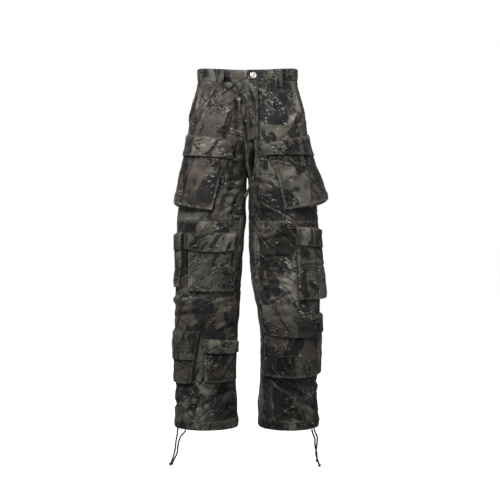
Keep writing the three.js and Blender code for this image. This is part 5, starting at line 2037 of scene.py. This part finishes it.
@dataclass
class Studio:
    """The camera, a pale seamless floor and soft light."""

    lens: float = 63.74
    camera_place: tuple[float, float, float] = (0.0076, -2.7, -0.529)
    floor: float = -1.3

    def camera(self) -> None:
        """Set the camera level in front of the garment."""
        data = bpy.data.cameras.new("camera")
        data.lens, data.sensor_width = self.lens, 36.0
        camera = bpy.data.objects.new("camera", data)
        camera.location = self.camera_place
        camera.rotation_euler = (math.radians(90), 0, 0)
        bpy.context.collection.objects.link(camera)
        bpy.context.scene.camera = camera

    def sweep(self) -> None:
        """A round pale floor that turns up into a wall on every side."""
        rise = [(0.0, 0.0), (4.2, 0.0), (5.2, 0.12), (6.1, 0.55), (6.7, 1.3), (7.0, 2.4), (7.0, 7.0)]
        sides = 64
        turns = [2 * math.pi * k / sides for k in range(sides)]
        points = [(r * math.cos(turn), r * math.sin(turn), self.floor + h)
                  for r, h in rise[1:] for turn in turns]
        points.append((0.0, 0.0, self.floor))
        faces: list[tuple[int, ...]] = [(len(points) - 1, k, (k + 1) % sides) for k in range(sides)]
        for ring in range(len(rise) - 2):
            a, b = ring * sides, (ring + 1) * sides
            faces += [(a + k, b + k, b + (k + 1) % sides, a + (k + 1) % sides) for k in range(sides)]
        mesh = bpy.data.meshes.new("floor")
        mesh.from_pydata(points, [], faces)
        mesh.shade_smooth()
        shader = Shader("floor_paper")
        place = shader.add("ShaderNodeTexCoord", {}, {}).outputs["Object"]
        shader.set(Base_Color=(0.93, 0.93, 0.93, 1), Roughness=0.9, Emission_Color=(1, 1, 1, 1),
                   Emission_Strength=0.74, Normal=shader.bump(shader.noise(place, 300.0), 0.02, 0.001))
        mesh.materials.append(shader.material)
        floor = bpy.data.objects.new("floor", mesh)
        bpy.context.collection.objects.link(floor)
        floor.visible_diffuse = False
        floor.visible_glossy = False

    @staticmethod
    def lamp(name: str, place: tuple[float, float, float], aim: tuple[float, float, float], size: float,
             power: float) -> None:
        """Hang a square soft light.

        Args:
            name: the light's name.
            place: where it hangs, in metres.
            aim: what it faces.
            size: its side.
            power: its watts.
        """
        data = bpy.data.lights.new(name, "AREA")
        data.size, data.energy = size, power
        lamp = bpy.data.objects.new(name, data)
        ahead = np.array(aim) - np.array(place)
        flat = math.hypot(ahead[0], ahead[1])
        lamp.location = place
        lamp.rotation_euler = (math.atan2(flat, -ahead[2]), 0, math.atan2(ahead[1], ahead[0]) - math.pi / 2)
        bpy.context.collection.objects.link(lamp)

    def light(self) -> None:
        """Light the garment from high in front, under a dim pale sky."""
        world = bpy.data.worlds.new("sky")
        world.use_nodes = True
        world.node_tree.nodes["Background"].inputs["Color"].default_value = (1, 1, 1, 1)
        world.node_tree.nodes["Background"].inputs["Strength"].default_value = 0.25
        bpy.context.scene.world = world
        self.lamp("key", (-0.75, -1.65, 1.25), (0.0, 0.0, -0.4), 0.55, 38.0)
        self.lamp("fill", (1.7, -2.0, 0.3), (0.0, 0.0, -0.5), 1.2, 7.5)
        self.lamp("back", (-1.0, 2.6, 1.3), (0.0, 0.0, -0.5), 1.4, 38.0)
        bpy.context.scene.view_settings.view_transform = "Standard"

    def build(self) -> None:
        """Set up the whole studio."""
        self.camera()
        self.sweep()
        self.light()


def main() -> None:
    """Dress the whole garment."""
    logging.basicConfig(level=logging.INFO, format="%(message)s")
    Studio().build()
    braid = Braid("cord_braid", (0.06, 0.061, 0.05, 1), (0.02, 0.021, 0.018, 1)).make()
    cloth_cord = Braid("camo_cord", (0.125, 0.12, 0.1, 1), (0.04, 0.039, 0.033, 1)).make()
    pale_cord = Braid("pale_cord", (0.5, 0.48, 0.42, 1), (0.2, 0.19, 0.17, 1)).make()
    Cords(cloth_cord, braid, pale_cord).build()
    twill = CamoTwill().make()
    prints, stitching = Print(), Stitching()
    legs = (Leg(R), Leg(L))
    Legs(prints, twill).build(legs, stitching)
    Waistband(prints, twill).build(legs, stitching)
    BeltLoops(prints, twill).build(legs, stitching)
    Fly(prints, twill).build(legs[1], stitching)
    Welts(prints, twill).build(legs, stitching)
    for sizes in POCKETS:
        Pocket(sizes, legs[0 if sizes.side is R else 1], prints, twill).build(stitching)
    button = Button(ButtonMetal().make())
    button.build(legs[1])
    button.hole(legs[1], stitching)
    stitching.build(Thread().make())


if __name__ == "__main__":
    main()
